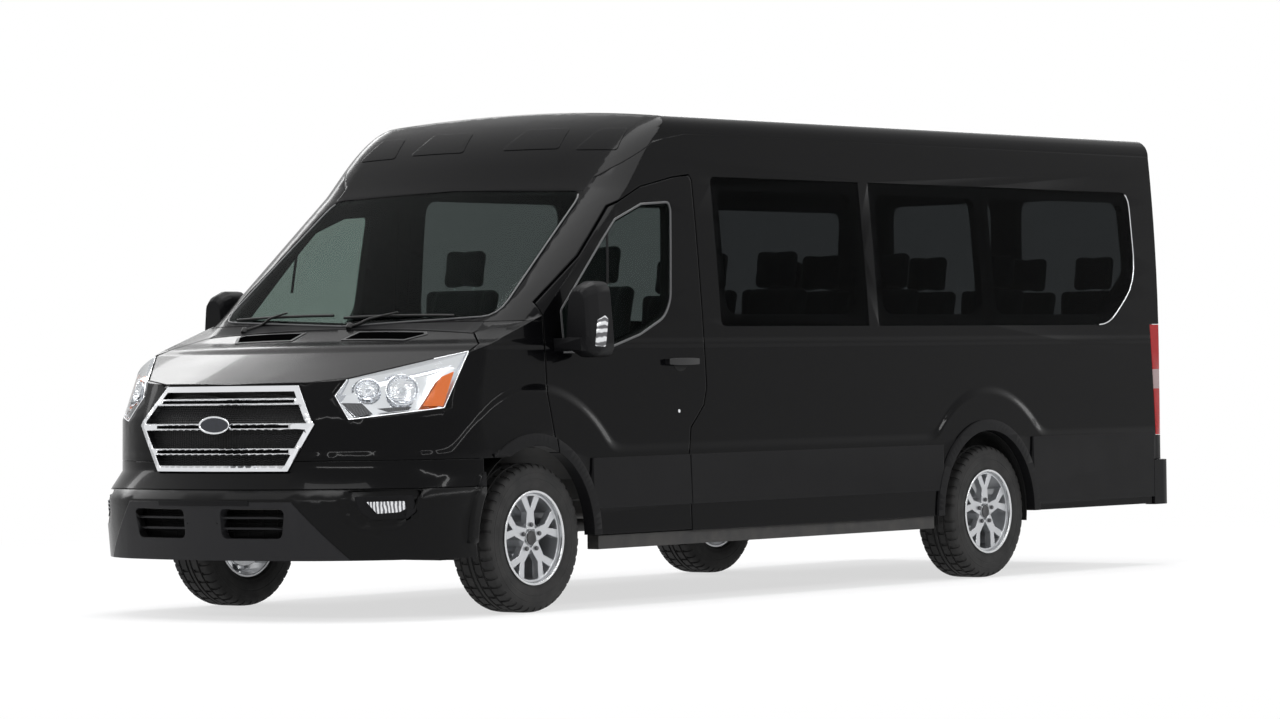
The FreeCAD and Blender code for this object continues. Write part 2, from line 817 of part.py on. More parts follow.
for side in (LEFT, RIGHT):
    plate_x = side * D.plate_hole_offset
    valance = valance.fuse(block((plate_x - D.plate_boss_half, plate_x + D.plate_boss_half),
                                 (-D.plate_boss_front, -D.plate_boss_rear),
                                 (D.plate_hole_height - D.plate_boss_half,
                                  D.plate_hole_height + D.plate_boss_half)))
valance = plate_holes(valance, FRONT)
valance = bumper_details(valance)
fender_box = block((-FAR, FAR), (FRONT, D.door_front + D.overrun),
                   (D.bumper_line + D.seat_gap, D.pillar_split))
fenders = nose_skin.common(fender_box).cut(block((-D.cowl_half, D.cowl_half),
                                                 (-D.hood_cut_rear, D.door_front * 2), (0, TOP)))
fenders = fenders.cut(joint_line(D.bumper_line))
fenders = fenders.cut(block((-D.grille_top_half, D.grille_top_half), (FRONT, -D.hood_lamp_front),
                            (D.grille_top_height, TOP)))

headlamps = GLASS_FACE.cut(outer_form(D.lamp_depth)).common(lamp_near).cut(hood_clear)
keep("hood", hood)
keep("windshield", windshield)
keep("front_bumper", front_bumper)
keep("front_valance", valance)
right_fender = fenders.common(block((-FAR, 0), (FRONT, REAR), (0, TOP)))
keep("fenders", Part.Compound([right_fender, mirrored(right_fender)]))
keep("headlamps", Part.Compound([headlamps, mirrored(headlamps)]))


# Roof, side walls, doors and rear

def roof_zone():
    """The roof panel with its forehead, down to the gutters and the windshield header."""
    run = D.roof_height - D.windshield_top_height
    start = D.windshield_top_setback
    outline = [(start - run, TOP)]
    outline += [(start + a * run, D.windshield_top_height + b * run) for a, b in FOREHEAD_LINE_SHARES]
    outline += [(start + run * GUTTER_START_SHARE, D.gutter_line), (REAR, D.gutter_line), (REAR, TOP)]
    zone = side_prism(outline, -FAR, FAR)
    header = block((-D.shield_top_half, D.shield_top_half),
                   (start - run, start + run * 2), (D.shield_top_side, TOP))
    rear = block((-D.rear_door_half - D.shut_gap, D.rear_door_half + D.shut_gap),
                 (D.rear_face - D.wall - D.overrun, REAR), (D.rear_door_high + D.shut_gap, TOP))
    return zone.fuse(header).fuse(rear)


FOREHEAD_LINE_SHARES = [(-1.0, 0.12), (0.02, -0.05), (0.40, 0.22), (0.95, 0.56)]
GUTTER_START_SHARE = 1.6
ROOF_ZONE = roof_zone()
roof = SHELL.common(ROOF_ZONE).cut(shield_cut)
for y in (D.rack_hole_front, D.rack_hole_rear):
    hole = Part.makeCylinder(D.rack_hole_radius, D.overrun * 4, Vector(D.rack_hole_offset, y, D.gutter_line))
    roof = roof.cut(hole).cut(mirrored(hole))
keep("roof", roof)

body = SHELL.cut(ROOF_ZONE).cut(shield_cut)
front_of_body = block((-FAR, FAR), (FRONT, D.door_front + D.overrun), (0, D.pillar_split + D.seat_gap))
body = body.cut(front_of_body)
cowl = SHELL.common(block((-D.cowl_half, D.cowl_half), (-D.hood_cut_rear + D.shut_gap, D.door_front),
                          (D.cabin_base_height, D.pillar_split))).cut(shield_cut)
rear_door_box = block((-D.rear_door_half - D.shut_gap, D.rear_door_half + D.shut_gap),
                      (D.rear_face - D.wall - D.overrun, REAR), (0, D.rear_door_high + D.shut_gap))
bumper_clear = block((-FAR, FAR), (D.bumper_split - D.trim_gap, REAR), (0, D.rear_bumper_high + D.trim_gap))
lamp_box = block((D.rear_door_half + D.shut_gap, FAR), (D.tail_lamp_front, REAR), (D.tail_lamp_low, D.tail_lamp_high))
lamp_clear = block((D.rear_door_half, FAR), (D.tail_lamp_front - D.trim_gap, REAR),
                   (D.tail_lamp_low - D.trim_gap, D.tail_lamp_high + D.trim_gap))
tail_form = outer_form(D.tail_lamp_depth)
lamp_pocket = lamp_clear.cut(tail_form)
tail_lamp = OUTER.cut(tail_form).common(lamp_box)
body = body.cut(rear_door_box).cut(bumper_clear).cut(lamp_pocket).cut(mirrored(lamp_pocket))

window_seat = rebate(side_prism(DOOR_WINDOW, 0, FAR))
inner_window = offset_prism(DOOR_WINDOW, -D.glass_lap, 0, FAR)
door = SHELL.common(door_zone).cut(window_seat).cut(inner_window)
door_glass = GLASS_LAYER.common(offset_prism(DOOR_WINDOW, -D.glass_edge_gap, 0, FAR))


def with_windows(panel, indices):
    for index in indices:
        panel = panel.cut(rebate(offset_prism(pane_outline(index), D.glass_edge_gap, 0, FAR)))
        panel = panel.cut(side_prism(window_outline(index), 0, FAR))
    return panel


def panes(indices):
    return [GLASS_LAYER.common(side_prism(pane_outline(index), 0, FAR)) for index in indices]


left_half = block((0, FAR), (FRONT, REAR), (0, TOP))
side_blank = body.common(left_half).cut(door_clear)
side_left = with_windows(side_blank, range(len(PANE_LIMITS)))
slider_outline = [(D.slider_front, D.door_low), (D.slider_rear, D.door_low),
                  (D.slider_rear, D.slider_high), (D.slider_front, D.slider_high)]
slider = with_windows(side_blank.common(side_prism(slider_outline, 0, FAR)), [0])
side_right = with_windows(side_blank, range(len(PANE_LIMITS)))
side_right = side_right.cut(offset_prism(slider_outline, D.shut_gap, 0, FAR))
keep("side_left", side_left)
keep("side_right", mirrored(side_right))
keep("sliding_door_right", mirrored(slider))
left_panes = panes(range(len(PANE_LIMITS)))
keep("side_glass", Part.Compound(left_panes + [mirrored(pane) for pane in left_panes]))
keep("front_door_left", door)
keep("front_door_right", mirrored(door))
keep("front_door_glass_left", door_glass)
keep("front_door_glass_right", mirrored(door_glass))

REAR_WINDOW = rounded([
    (D.rear_window_inner, D.rear_window_low), (D.rear_window_outer, D.rear_window_low),
    (D.rear_window_outer, D.band_high), (D.rear_window_inner, D.band_high)], D.window_corner)
rear_door_zone = block((D.shut_gap / 2, D.rear_door_half), (D.rear_face - D.wall - D.overrun, REAR),
                       (D.rear_door_low, D.rear_door_high))
rear_span = (D.rear_face - D.wall - D.overrun, REAR)
rear_seat = rebate(offset_front(REAR_WINDOW, D.glass_edge_gap, *rear_span))
rear_hole = offset_front(REAR_WINDOW, -D.glass_lap, *rear_span)
rear_door = SHELL.common(rear_door_zone).cut(rear_seat).cut(rear_hole)
rear_glass = GLASS_LAYER.common(front_prism(REAR_WINDOW, *rear_span))
keep("rear_door_left", rear_door)
keep("rear_door_right", mirrored(rear_door))
keep("rear_door_glass_left", rear_glass)
keep("rear_door_glass_right", mirrored(rear_glass))
keep("tail_lamps", Part.Compound([tail_lamp, mirrored(tail_lamp)]))
keep("cowl", cowl)

# Front trim: grille, fog lamps and lower intake

def grille():
    """A six-sided rim with three double bars, and the mesh plate that carries them."""
    rim = GRILLE_FACE.cut(outer_form(D.grille_depth)).common(
        offset_front(GRILLE_OUTLINE, -D.seat_gap, FRONT, -D.hood_front_reach + D.overrun))
    inside = offset_front(GRILLE_OUTLINE, -D.seat_gap - D.grille_rim_width, FRONT, 0)
    rim = rim.cut(inside)
    plate = outer_form(D.grille_depth - D.grille_plate).cut(outer_form(D.grille_depth)).common(
        offset_front(GRILLE_OUTLINE, -D.seat_gap, FRONT, -D.hood_front_reach + D.overrun * 2))
    bars = None
    bar_form = GRILLE_FACE.cut(outer_form(D.grille_depth)).common(inside)
    for index in range(GRILLE_BARS):
        middle = D.grille_mid_height + (index - (GRILLE_BARS - 1) / 2) * D.grille_bar_pitch - D.grille_bar_line
        for side in (LEFT, RIGHT):
            low = middle + side * (D.grille_bar_gap + D.grille_bar_line) / 2 - D.grille_bar_line / 2
            bar = bar_form.common(block((-FAR, FAR), (FRONT, 0), (low, low + D.grille_bar_line)))
            bars = bar if bars is None else bars.fuse(bar)
        for side in (LEFT, RIGHT):
            inner = side * D.grille_end_block
            outer = side * FAR
            end = bar_form.common(block((min(inner, outer), max(inner, outer)), (FRONT, 0),
                                        (middle - D.grille_bar_gap / 2 - D.grille_bar_line,
                                         middle + D.grille_bar_gap / 2 + D.grille_bar_line)))
            bars = bars.fuse(end)
    return rim.fuse(plate).fuse(bars).cut(hood_clear)


GRILLE_BARS = 3
GRILLE_FACE = outer_form(-D.grille_stand)
keep("grille", grille())


# Running gear

def stub_box(side, x_from, x_to, y_pair, z_pair):
    """A block on one side, given by its distances from the middle."""
    low, high = sorted((side * x_from, side * x_to))
    return block((low, high), y_pair, z_pair)


def side_rod(radius, side, x_from, x_to, y, z):
    low, high = sorted((side * x_from, side * x_to))
    return cross_cylinder(radius, low, high, y, z)


def knuckle(side):
    """Upright with its kingpin bore, arm and the stub axle that carries the hub."""
    centre = side * D.kingpin_offset
    upright = Part.makeCylinder(D.upright_radius, 2 * D.upright_half_height,
                                Vector(centre, 0, AXLE - D.upright_half_height))
    stub = side_rod(D.stub_radius, side, D.kingpin_offset, D.track / 2 + D.stub_reach, 0, AXLE)
    caliper = stub_box(side, D.kingpin_offset, D.caliper_outer, (D.caliper_near, D.caliper_far),
                       (AXLE - D.caliper_half, AXLE + D.caliper_half))
    caliper = caliper.cut(side_rod(D.disc_radius + D.caliper_gap, side, D.disc_inner - D.caliper_gap,
                                   D.disc_inner + D.disc_thickness + D.caliper_gap, 0, AXLE))
    arm = stub_box(side, D.kingpin_offset - D.arm_width / 2, D.kingpin_offset + D.arm_width / 2,
                   (0, D.caliper_far), (AXLE - D.arm_width, AXLE + D.arm_width))
    bore = Part.makeCylinder(D.kingpin_radius + D.stub_clearance, 4 * D.upright_half_height,
                             Vector(centre, 0, AXLE - 2 * D.upright_half_height))
    return upright.fuse(stub).fuse(arm).fuse(caliper).cut(bore)


def subframe():
    """Cross member between the rails, two lower arms, the struts and the kingpins."""
    low = AXLE - D.upright_half_height - D.joint_gap - D.arm_thickness
    high = AXLE + D.upright_half_height + D.joint_gap
    rail_low = D.floor_height - D.rail_depth
    frame = block((-D.rail_inner, D.rail_inner), (-D.beam_half, D.beam_half), (low, low + D.beam_depth))
    for side in (LEFT, RIGHT):
        arm = stub_box(side, D.rail_inner - D.arm_width, D.kingpin_offset + D.arm_width / 2,
                       (-D.arm_width / 2, D.arm_width / 2), (low, low + D.arm_thickness))
        leg = stub_box(side, D.rail_inner, D.rail_inner + D.rail_width - D.arm_thickness,
                       (-D.beam_half, D.beam_half), (low, rail_low))
        pin = Part.makeCylinder(D.kingpin_radius, high + D.arm_thickness - low,
                                Vector(side * D.kingpin_offset, 0, low))
        lug = stub_box(side, D.strut_offset - D.strut_radius, D.kingpin_offset + D.arm_width / 2,
                       (-D.arm_width / 2, D.arm_width / 2), (high, high + D.arm_thickness))
        strut = Part.makeCylinder(D.strut_radius, D.strut_top - high, Vector(side * D.strut_offset, 0, high))
        spring = Part.makeCylinder(D.spring_radius, D.strut_top - D.spring_low,
                                   Vector(side * D.strut_offset, 0, D.spring_low))
        frame = frame.fuse(arm).fuse(leg).fuse(pin).fuse(lug).fuse(strut).fuse(spring)
    return frame


def rear_axle():
    """Axle tube with its differential and stubs, on two leaf springs hung from the rails."""
    y = D.wheelbase
    tube = cross_cylinder(D.axle_tube_radius, -D.axle_half, D.axle_half, y, AXLE)
    stubs = cross_cylinder(D.stub_radius, -D.track / 2 - D.stub_reach, D.track / 2 + D.stub_reach, y, AXLE)
    housing = Part.makeCylinder(D.differential_radius, 2 * D.differential_half,
                                Vector(0, y - D.differential_half, AXLE), Vector(0, 1, 0))
    pinion = Part.makeCylinder(D.pinion_radius, D.pinion_reach, Vector(0, y - D.pinion_reach, AXLE),
                               Vector(0, 1, 0))
    axle = tube.fuse(stubs).fuse(housing).fuse(pinion)
    rail_low = D.floor_height - D.rail_depth
    for side in (LEFT, RIGHT):
        middle_z = AXLE + D.axle_tube_radius
        half = D.spring_half_length
        start = Vector(0, y - half, rail_low - D.leaf_eye)
        stop = Vector(0, y + half, rail_low - D.leaf_eye)
        low = Part.Arc(start, Vector(0, y, middle_z), stop).toShape()
        lift = Vector(0, 0, D.leaf_thickness)
        high = Part.Arc(start + lift, Vector(0, y, middle_z) + lift, stop + lift).toShape()
        outline = Part.Wire([low, Part.LineSegment(stop, stop + lift).toShape(), high,
                             Part.LineSegment(start + lift, start).toShape()])
        inner = side * D.rail_inner
        outer = side * (D.rail_inner + D.rail_width)
        leaf = Part.Face(outline).extrude(Vector(D.rail_width, 0, 0))
        leaf.translate(Vector(min(inner, outer), 0, 0))
        saddle = stub_box(side, D.rail_inner, D.rail_inner + D.rail_width,
                          (y - D.saddle_half, y + D.saddle_half), (AXLE, middle_z + D.leaf_thickness / 2))
        axle = axle.fuse(leaf).fuse(saddle)
        for end in (-1, 1):
            hanger_y = y + end * (half - D.leaf_eye / 2)
            hanger = stub_box(side, D.rail_inner, D.rail_inner + D.rail_width,
                              (hanger_y - D.leaf_eye / 2, hanger_y + D.leaf_eye / 2),
                              (rail_low - D.leaf_eye, rail_low))
            axle = axle.fuse(hanger)
    return axle


def floor():
    """Floor plate with wheel houses, rails, cross members and sills."""
    low = D.floor_height
    half = D.half_width - D.wall - D.seat_gap
    top = D.floor_height + D.floor_thickness
    rear = D.rear_face - D.wall - D.seat_gap
    front = D.bulkhead_rear
    plate = block((-half, half), (front, rear), (low, top))
    plate = plate.cut(arch_disc(FRONT_ARCH_Y, D.liner_radius + D.seat_gap))
    plate = plate.fuse(block((-D.tunnel_half, D.tunnel_half), (front, D.gearbox_end), (low, top)))
    house = cross_cylinder(D.arch_radius + D.liner_thickness, D.house_inner, half, REAR_ARCH_Y, AXLE)
    houses = house.fuse(mirrored(house)).common(block((-FAR, FAR), (0, REAR), (low, TOP)))
    hollow = cross_cylinder(D.arch_radius, D.house_inner + D.liner_thickness, FAR, REAR_ARCH_Y, AXLE)
    plate = plate.fuse(houses).cut(hollow).cut(mirrored(hollow)).common(CABIN_ROOM)
    rail_low = low - D.rail_depth
    sill_front = FRONT_ARCH_Y + D.arch_radius + D.overrun
    sill_rear = REAR_ARCH_Y - D.arch_radius - D.overrun
    for side in (LEFT, RIGHT):
        rail = stub_box(side, D.rail_inner, D.rail_inner + D.rail_width,
                        (-D.rail_front_reach, rear), (rail_low, low))
        for y in (D.tow_hole_front, D.tow_hole_rear):
            hole = Part.makeCylinder(D.tow_hole_radius, D.rail_depth,
                                     Vector(side * (D.rail_inner + D.rail_width / 2), y, rail_low))
            rail = rail.cut(hole)
        pad = stub_box(side, D.rail_inner, D.rail_inner + D.rail_width,
                       (D.jack_place - D.jack_half, D.jack_place + D.jack_half),
                       (rail_low - D.jack_depth, rail_low))
        rail = rail.fuse(pad)
        sill = stub_box(side, half - D.sill_width, half + D.sill_step, (sill_front, sill_rear),
                        (D.skirt_height, D.sill_height - D.seat_gap))
        web = stub_box(side, half - D.sill_width, half, (sill_front, sill_rear),
                       (D.sill_height - D.overrun, low))
        plate = plate.fuse(rail).fuse(sill).fuse(web)
    for share in CROSS_MEMBER_SHARES:
        y = front + (rear - front) * share
        plate = plate.fuse(block((-D.rail_inner, D.rail_inner), (y, y + D.rail_width),
                                 (low - D.rail_depth / 2, low)))
    return plate


CROSS_MEMBER_SHARES = [0.11, 0.215, 0.455, 0.75, 0.93]


def bulkhead():
    """Firewall between the engine and the cabin, with the arched tops of the front wheel houses."""
    low = D.floor_height
    span = (D.bulkhead_rear - D.bulkhead_thickness, D.bulkhead_rear)
    plate = block((-FAR, FAR), span, (low, D.cabin_base_height))
    plate = plate.fuse(block((-D.cowl_half, D.cowl_half), span, (D.cabin_base_height, D.dash_high)))
    house = cross_cylinder(D.liner_radius, D.house_front_inner, FAR, FRONT_ARCH_Y, AXLE)
    hollow = cross_cylinder(D.liner_radius - D.liner_thickness, D.house_front_inner - D.overrun, FAR,
                            FRONT_ARCH_Y, AXLE)
    upper = block((-FAR, FAR), (FRONT, FRONT_ARCH_Y + D.liner_radius), (low, TOP))
    houses = house.fuse(mirrored(house)).common(upper)
    tower = Part.makeCylinder(D.spring_radius, D.tower_height,
                              Vector(D.strut_offset, 0, D.strut_top + D.seat_gap))
    shape = plate.fuse(houses).cut(hollow).cut(mirrored(hollow)).fuse(tower).fuse(mirrored(tower))
    return shape.common(CABIN_ROOM)


def front_carrier():
    """Radiator between the rails, its upper panel under the hood, and the beam behind the bumper."""
    low = D.floor_height
    rear = -D.carrier_front + D.carrier_thickness
    panel = block((-D.carrier_half, D.carrier_half), (-D.carrier_front, rear), (low, TOP))
    panel = panel.common(hood_prism(D.hood_thickness + D.seat_gap))
    inner = D.rail_inner - D.seat_gap
    core = block((-inner, inner), (-D.carrier_front, rear), (D.radiator_low, low))
    room = CABIN_ROOM.common(block((-D.beam_reach, D.beam_reach), (FRONT, -D.rail_front_reach),
                                   (D.beam_low, D.beam_high)))
    beam = room.cut(outer_form(D.wall + D.beam_thickness))
    carrier = panel.fuse(core).fuse(beam)
    for side in (LEFT, RIGHT):
        carrier = carrier.fuse(CABIN_ROOM.common(stub_box(side, D.rail_inner, D.rail_inner + D.rail_width,
                                                          (-D.nose_reach, -D.rail_front_reach),
                                                          (D.beam_low, low))))
    return carrier


SPOKES = 5
SPOKE_SHARES = [(-0.5, 0.0), (-0.4, 0.5), (-1.05, 0.88), (-1.15, 1.0), (-0.5, 1.0), (0.0, 0.6)]


def wheel_rim():
    """Barrel, five forked spokes, hub and brake disc, turning about the x axis at 0."""
    half = D.rim_width / 2
    barrel = cross_cylinder(D.bead_radius, -half, half, 0, 0)
    barrel = barrel.cut(cross_cylinder(D.bead_radius - D.rim_wall, -half - D.overrun, half + D.overrun, 0, 0))
    start = D.mount_face_offset - D.spoke_drop
    outer = D.mount_face_offset + D.spoke_depth
    hub = cross_cylinder(D.hub_radius, D.disc_inner_local, outer - D.hub_recess, 0, 0)
    cap = cross_cylinder(D.hub_cap_radius, D.mount_face_offset, outer - D.hub_recess + D.cap_depth, 0, 0)
    disc = cross_cylinder(D.disc_radius, D.disc_inner_local, D.disc_inner_local + D.disc_thickness, 0, 0)
    rim = barrel.fuse(hub).fuse(cap).fuse(disc)
    root = D.hub_radius / 2
    run = D.bead_radius - D.rim_wall / 2 - root
    outline = [(a * D.spoke_width, root + b * run) for a, b in SPOKE_SHARES]
    outline += [(-a, b) for a, b in reversed(outline[:-1])]
    face = Part.Face(polygon([Vector(start, a, b) for a, b in outline]))
    spoke = face.extrude(Vector(D.spoke_depth, 0, 0))
    for index in range(SPOKES):
        turned = spoke.copy()
        turned.rotate(Vector(0, 0, 0), Vector(1, 0, 0), 360 / SPOKES * index)
        rim = rim.fuse(turned)
    bore = cross_cylinder(D.stub_radius + D.stub_clearance, -D.tyre_width, D.stub_reach + D.seat_gap, 0, 0)
    return rim.cut(bore)


def tyre():
    """Closed ring round the rim, with flat walls and a chamfered shoulder on each side."""
    half = D.tyre_width / 2
    outline = [
        (D.bead_radius, -half), (D.bead_radius, half), (D.tyre_radius - D.tyre_shoulder, half),
        (D.tyre_radius, half - D.tyre_shoulder), (D.tyre_radius, -half + D.tyre_shoulder),
        (D.tyre_radius - D.tyre_shoulder, -half),
    ]
    face = Part.Face(polygon([Vector(x, 0, r) for r, x in outline]))
    return face.revolve(Vector(0, 0, 0), Vector(1, 0, 0), 360)


keep("front_subframe", subframe())
keep("rear_axle", rear_axle())
keep("floor", floor())
keep("bulkhead", bulkhead())
keep("front_carrier", front_carrier())
keep("knuckle_left", knuckle(LEFT))
keep("knuckle_right", knuckle(RIGHT))
RIM = wheel_rim()
TYRE = tyre()
for end, y in (("front", 0), ("rear", D.wheelbase)):
    for name, side in (("left", LEFT), ("right", RIGHT)):
        spot = Vector(side * D.track / 2, y, AXLE)
        rim = RIM if side == LEFT else mirrored(RIM)
        rim = rim.translated(spot)
        keep("rim_%s_%s" % (end, name), rim)
        keep("tyre_%s_%s" % (end, name), TYRE.translated(spot))


# Drive and underbody

SHIFT = "(Sheet.tail_reach - Sheet.nose_reach) / 2"
LOW_OF_RAIL = "Sheet.floor_height - Sheet.rail_depth"
ENGINE_BOXES = [
    ("engine_block", "-Sheet.engine_half", "-Sheet.engine_front", "Sheet.engine_low",
     "2 * Sheet.engine_half", "Sheet.engine_front - Sheet.engine_rear", "Sheet.engine_high - Sheet.engine_low"),
    ("gearbox", "-Sheet.gearbox_half", "-Sheet.engine_rear", "Sheet.engine_low",
     "2 * Sheet.gearbox_half", "Sheet.engine_rear + Sheet.gearbox_end",
     "Sheet.floor_height - Sheet.overrun - Sheet.engine_low"),
    ("engine_mount", "-Sheet.rail_inner", "-Sheet.engine_front + Sheet.mount_bar", LOW_OF_RAIL,
     "2 * Sheet.rail_inner", "Sheet.mount_bar", "Sheet.rail_depth"),
]


def engine():
    """A plain block at the engine's place, the gearbox behind it and the bar between the rails."""
    boxes = []
    for name, x, y, z, length, width, height in ENGINE_BOXES:
        box = doc.addObject("Part::Box", name)
        box.setExpression("Length", length)
        box.setExpression("Width", width)
        box.setExpression("Height", height)
        box.setExpression("Placement.Base.x", x)
        box.setExpression("Placement.Base.y", "%s - %s" % (y, SHIFT))
        box.setExpression("Placement.Base.z", z)
        boxes.append(box)
    whole = doc.addObject("Part::MultiFuse", "engine")
    whole.Label = "engine"
    whole.Shapes = boxes
    doc.recompute()
    PARTS.append(whole)


HANGER_SHARES = (0.1, 0.9)


def underbody():
    """Fuel tank, exhaust with its silencer, and the propeller shaft."""
    low = D.floor_height
    tank = block((D.tank_inner, D.rail_inner - D.seat_gap), (D.tank_front, D.tank_rear), (D.tank_low, low))
    tank = tank.makeFillet(D.overrun / 2, [edge for edge in tank.Edges
                                           if edge.BoundBox.ZMax < low - D.overrun])
    shaft_run = D.wheelbase - D.pinion_reach - D.seat_gap - D.gearbox_end
    shaft = Part.makeCylinder(D.shaft_radius, shaft_run, Vector(0, D.gearbox_end, AXLE),
                              Vector(0, 1, 0))
    pipe = Part.makeCylinder(D.pipe_radius, D.pipe_end - D.pipe_start,
                             Vector(-D.pipe_offset, D.pipe_start, D.pipe_height), Vector(0, 1, 0))
    silencer = Part.makeCylinder(D.silencer_radius, D.silencer_length,
                                 Vector(-D.pipe_offset, D.silencer_front, D.pipe_height), Vector(0, 1, 0))
    exhaust = pipe.fuse(silencer)
    for share in HANGER_SHARES:
        y = D.pipe_start + (D.pipe_end - D.pipe_start) * share
        exhaust = exhaust.fuse(block((-D.pipe_offset - D.hanger_width / 2, -D.pipe_offset + D.hanger_width / 2),
                                     (y, y + D.hanger_width), (D.pipe_height, low)))
    return Part.Compound([tank, shaft, exhaust])


engine()
keep("underbody", underbody())


# Cabin

def seat(middle, front, width, back_top):
    """Cushion, leaning back with its head restraint, and the plinth to the floor."""
    floor_top = D.floor_height + D.floor_thickness + D.seat_gap
    cushion_top = floor_top + D.seat_height
    left, right = middle - width / 2, middle + width / 2
    plinth = block((left + D.overrun, right - D.overrun), (front + D.overrun, front + D.seat_depth - D.overrun),
                   (floor_top, cushion_top - D.cushion_thickness / 2))
    cushion = block((left, right), (front, front + D.seat_depth), (cushion_top - D.cushion_thickness, cushion_top))
    lean = (back_top - cushion_top) * BACK_LEAN_SHARE
    back_line = front + D.seat_depth - D.back_thickness
    back = side_prism([
        (back_line, cushion_top - D.cushion_thickness),
        (back_line + D.back_thickness, cushion_top - D.cushion_thickness),
        (back_line + D.back_thickness + lean, back_top),
        (back_line + D.back_thickness * BACK_TOP_SHARE + lean, back_top),
    ], left, right)
    rest_low = back_top + D.rest_gap
    rest = block((middle - D.rest_half, middle + D.rest_half),
                 [back_line + lean + D.back_thickness * share for share in REST_SHARES],
                 (rest_low, rest_low + D.rest_height))
    stem = block((middle - D.rest_half / 2, middle + D.rest_half / 2),
                 [back_line + lean + D.back_thickness * share for share in STEM_SHARES],
                 (back_top - D.rest_gap, rest_low + D.rest_gap))
    return plinth.fuse(cushion).fuse(back).fuse(rest).fuse(stem)


BACK_LEAN_SHARE = 0.22
BACK_TOP_SHARE = 0.3
REST_SHARES = (0.2, 0.9)
STEM_SHARES = (0.45, 0.7)
ROW_SHARES = [0.0, 0.28, 0.56, 0.84]
ROW_PLACE_SHARES = [0.69, 0.27, -0.66]


def seat_row(front):
    """A pair on one side of the aisle and a single seat on the other."""
    shapes = [seat(place * D.half_width, front, D.bench_width, D.rear_back_top) for place in ROW_PLACE_SHARES]
    house = cross_cylinder(D.arch_radius + D.liner_thickness + D.seat_gap, D.house_inner - D.seat_gap, FAR,
                           REAR_ARCH_Y, AXLE)
    return [shapes[0].fuse(shapes[1]).cut(house), shapes[2].cut(mirrored(house))]


def dashboard():
    half = D.half_width - D.wall - D.overrun
    outline = [
        (D.bulkhead_rear, D.dash_low), (D.dash_rear - D.overrun, D.dash_low),
        (D.dash_rear, D.dash_low + D.overrun * 2), (D.dash_rear - D.overrun / 2, D.dash_high - D.overrun / 2),
        (D.dash_rear - D.overrun * 2, D.dash_high), (D.bulkhead_rear, D.dash_high - D.overrun),
    ]
    dash = side_prism(outline, -half, half)
    column = Part.makeCylinder(D.column_radius, D.column_length, D_WHEEL - COLUMN * D.column_length, COLUMN)
    return dash.fuse(column)


COLUMN_TILT = math.radians(28)
COLUMN = Vector(0, math.cos(COLUMN_TILT), math.sin(COLUMN_TILT))
D_WHEEL = Vector(D.driver_offset, D.wheel_y, D.wheel_z)


def steering_wheel():
    """A flat ring with a hub and three round spokes, square to the column."""
    hub_face = D_WHEEL + COLUMN * D.seat_gap
    ring = Part.makeCylinder(D.steer_radius + D.steer_grip, 2 * D.steer_grip, hub_face, COLUMN)
    ring = ring.cut(Part.makeCylinder(D.steer_radius - D.steer_grip, 2 * D.steer_grip, hub_face, COLUMN))
    hub = Part.makeCylinder(D.steer_hub_radius, 2 * D.steer_grip, hub_face, COLUMN)
    across = Vector(1, 0, 0)
    down = COLUMN.cross(across)
    if down.z > 0:
        down = down * -1
    for direction in (across, across * -1, down):
        spoke = Part.makeCylinder(D.steer_spoke_radius, D.steer_radius, hub_face + COLUMN * D.steer_grip,
                                  direction)
        hub = hub.fuse(spoke)
    return ring.fuse(hub)


front_seats = [seat(side * D.driver_offset, D.front_seat_y, D.front_seat_width, D.front_back_top)
               for side in (LEFT, RIGHT)]
keep("front_seats", Part.Compound(front_seats))
row_run = D.last_row_y - D.first_row_y
bench_shapes = []
for share in ROW_SHARES:
    bench_shapes += seat_row(D.first_row_y + share / ROW_SHARES[-1] * row_run)
keep("rear_seats", Part.Compound(bench_shapes))
keep("dashboard", dashboard())
keep("steering_wheel", steering_wheel())


# Mirrors and rear bumper

def mirror_outline(size_share, y):
    """The housing's outline: narrower at the top, with round corners, scaled about its middle."""
    inner, outer = D.mirror_inner, D.mirror_outer
    low, high = D.mirror_low, D.mirror_high
    corners = [(inner, low), (outer, low), (outer - D.mirror_taper, high), (inner + D.mirror_taper, high)]
    middle_x, middle_z = (inner + outer) / 2, (low + high) / 2
    return polygon([Vector(middle_x + (x - middle_x) * size_share, y, middle_z + (z - middle_z) * size_share)
                    for x, z in rounded(corners, D.mirror_corner)])


MIRROR_SHARES = [(0.0, 0.72), (0.14, 0.86), (0.5, 1.0), (1.0, 1.0)]


def mirror():
    """Housing that widens from its nose to its glass, on an arm from the door."""
    run = D.mirror_rear - D.mirror_front
    outlines = [mirror_outline(size, D.mirror_front + place * run) for place, size in MIRROR_SHARES]
    shell = None
    for first, second in zip(outlines, outlines[1:]):
        tier = Part.makeLoft([first, second], True, True)
        shell = tier if shell is None else shell.fuse(tier)
    arm = block((D.door_face_x, D.mirror_inner + D.overrun * 2),
                (D.mirror_front - D.mirror_arm / 4, D.mirror_front + D.mirror_arm),
                (D.mirror_low + D.overrun / 2, D.mirror_low + D.overrun * 3 / 2))
    return shell.fuse(arm)


def rear_bumper():
    low, high = D.rear_bumper_low, D.rear_bumper_high
    shape = block((-D.half_width - D.moulding_stand, D.half_width + D.moulding_stand),
                  (D.bumper_split, D.tail_reach), (low, high))
    corners = [edge for edge in shape.Edges
               if edge.BoundBox.ZLength > D.overrun and edge.BoundBox.YMin > D.bumper_split + D.overrun]
    shape = shape.makeFillet(D.tail_radius, corners)
    hollow = block((-D.half_width + D.wall, D.half_width - D.wall),
                   (D.bumper_split - D.overrun, D.rear_face - D.wall), (0, high + D.overrun))
    return plate_holes(shape.cut(hollow), D.rear_face - D.wall)


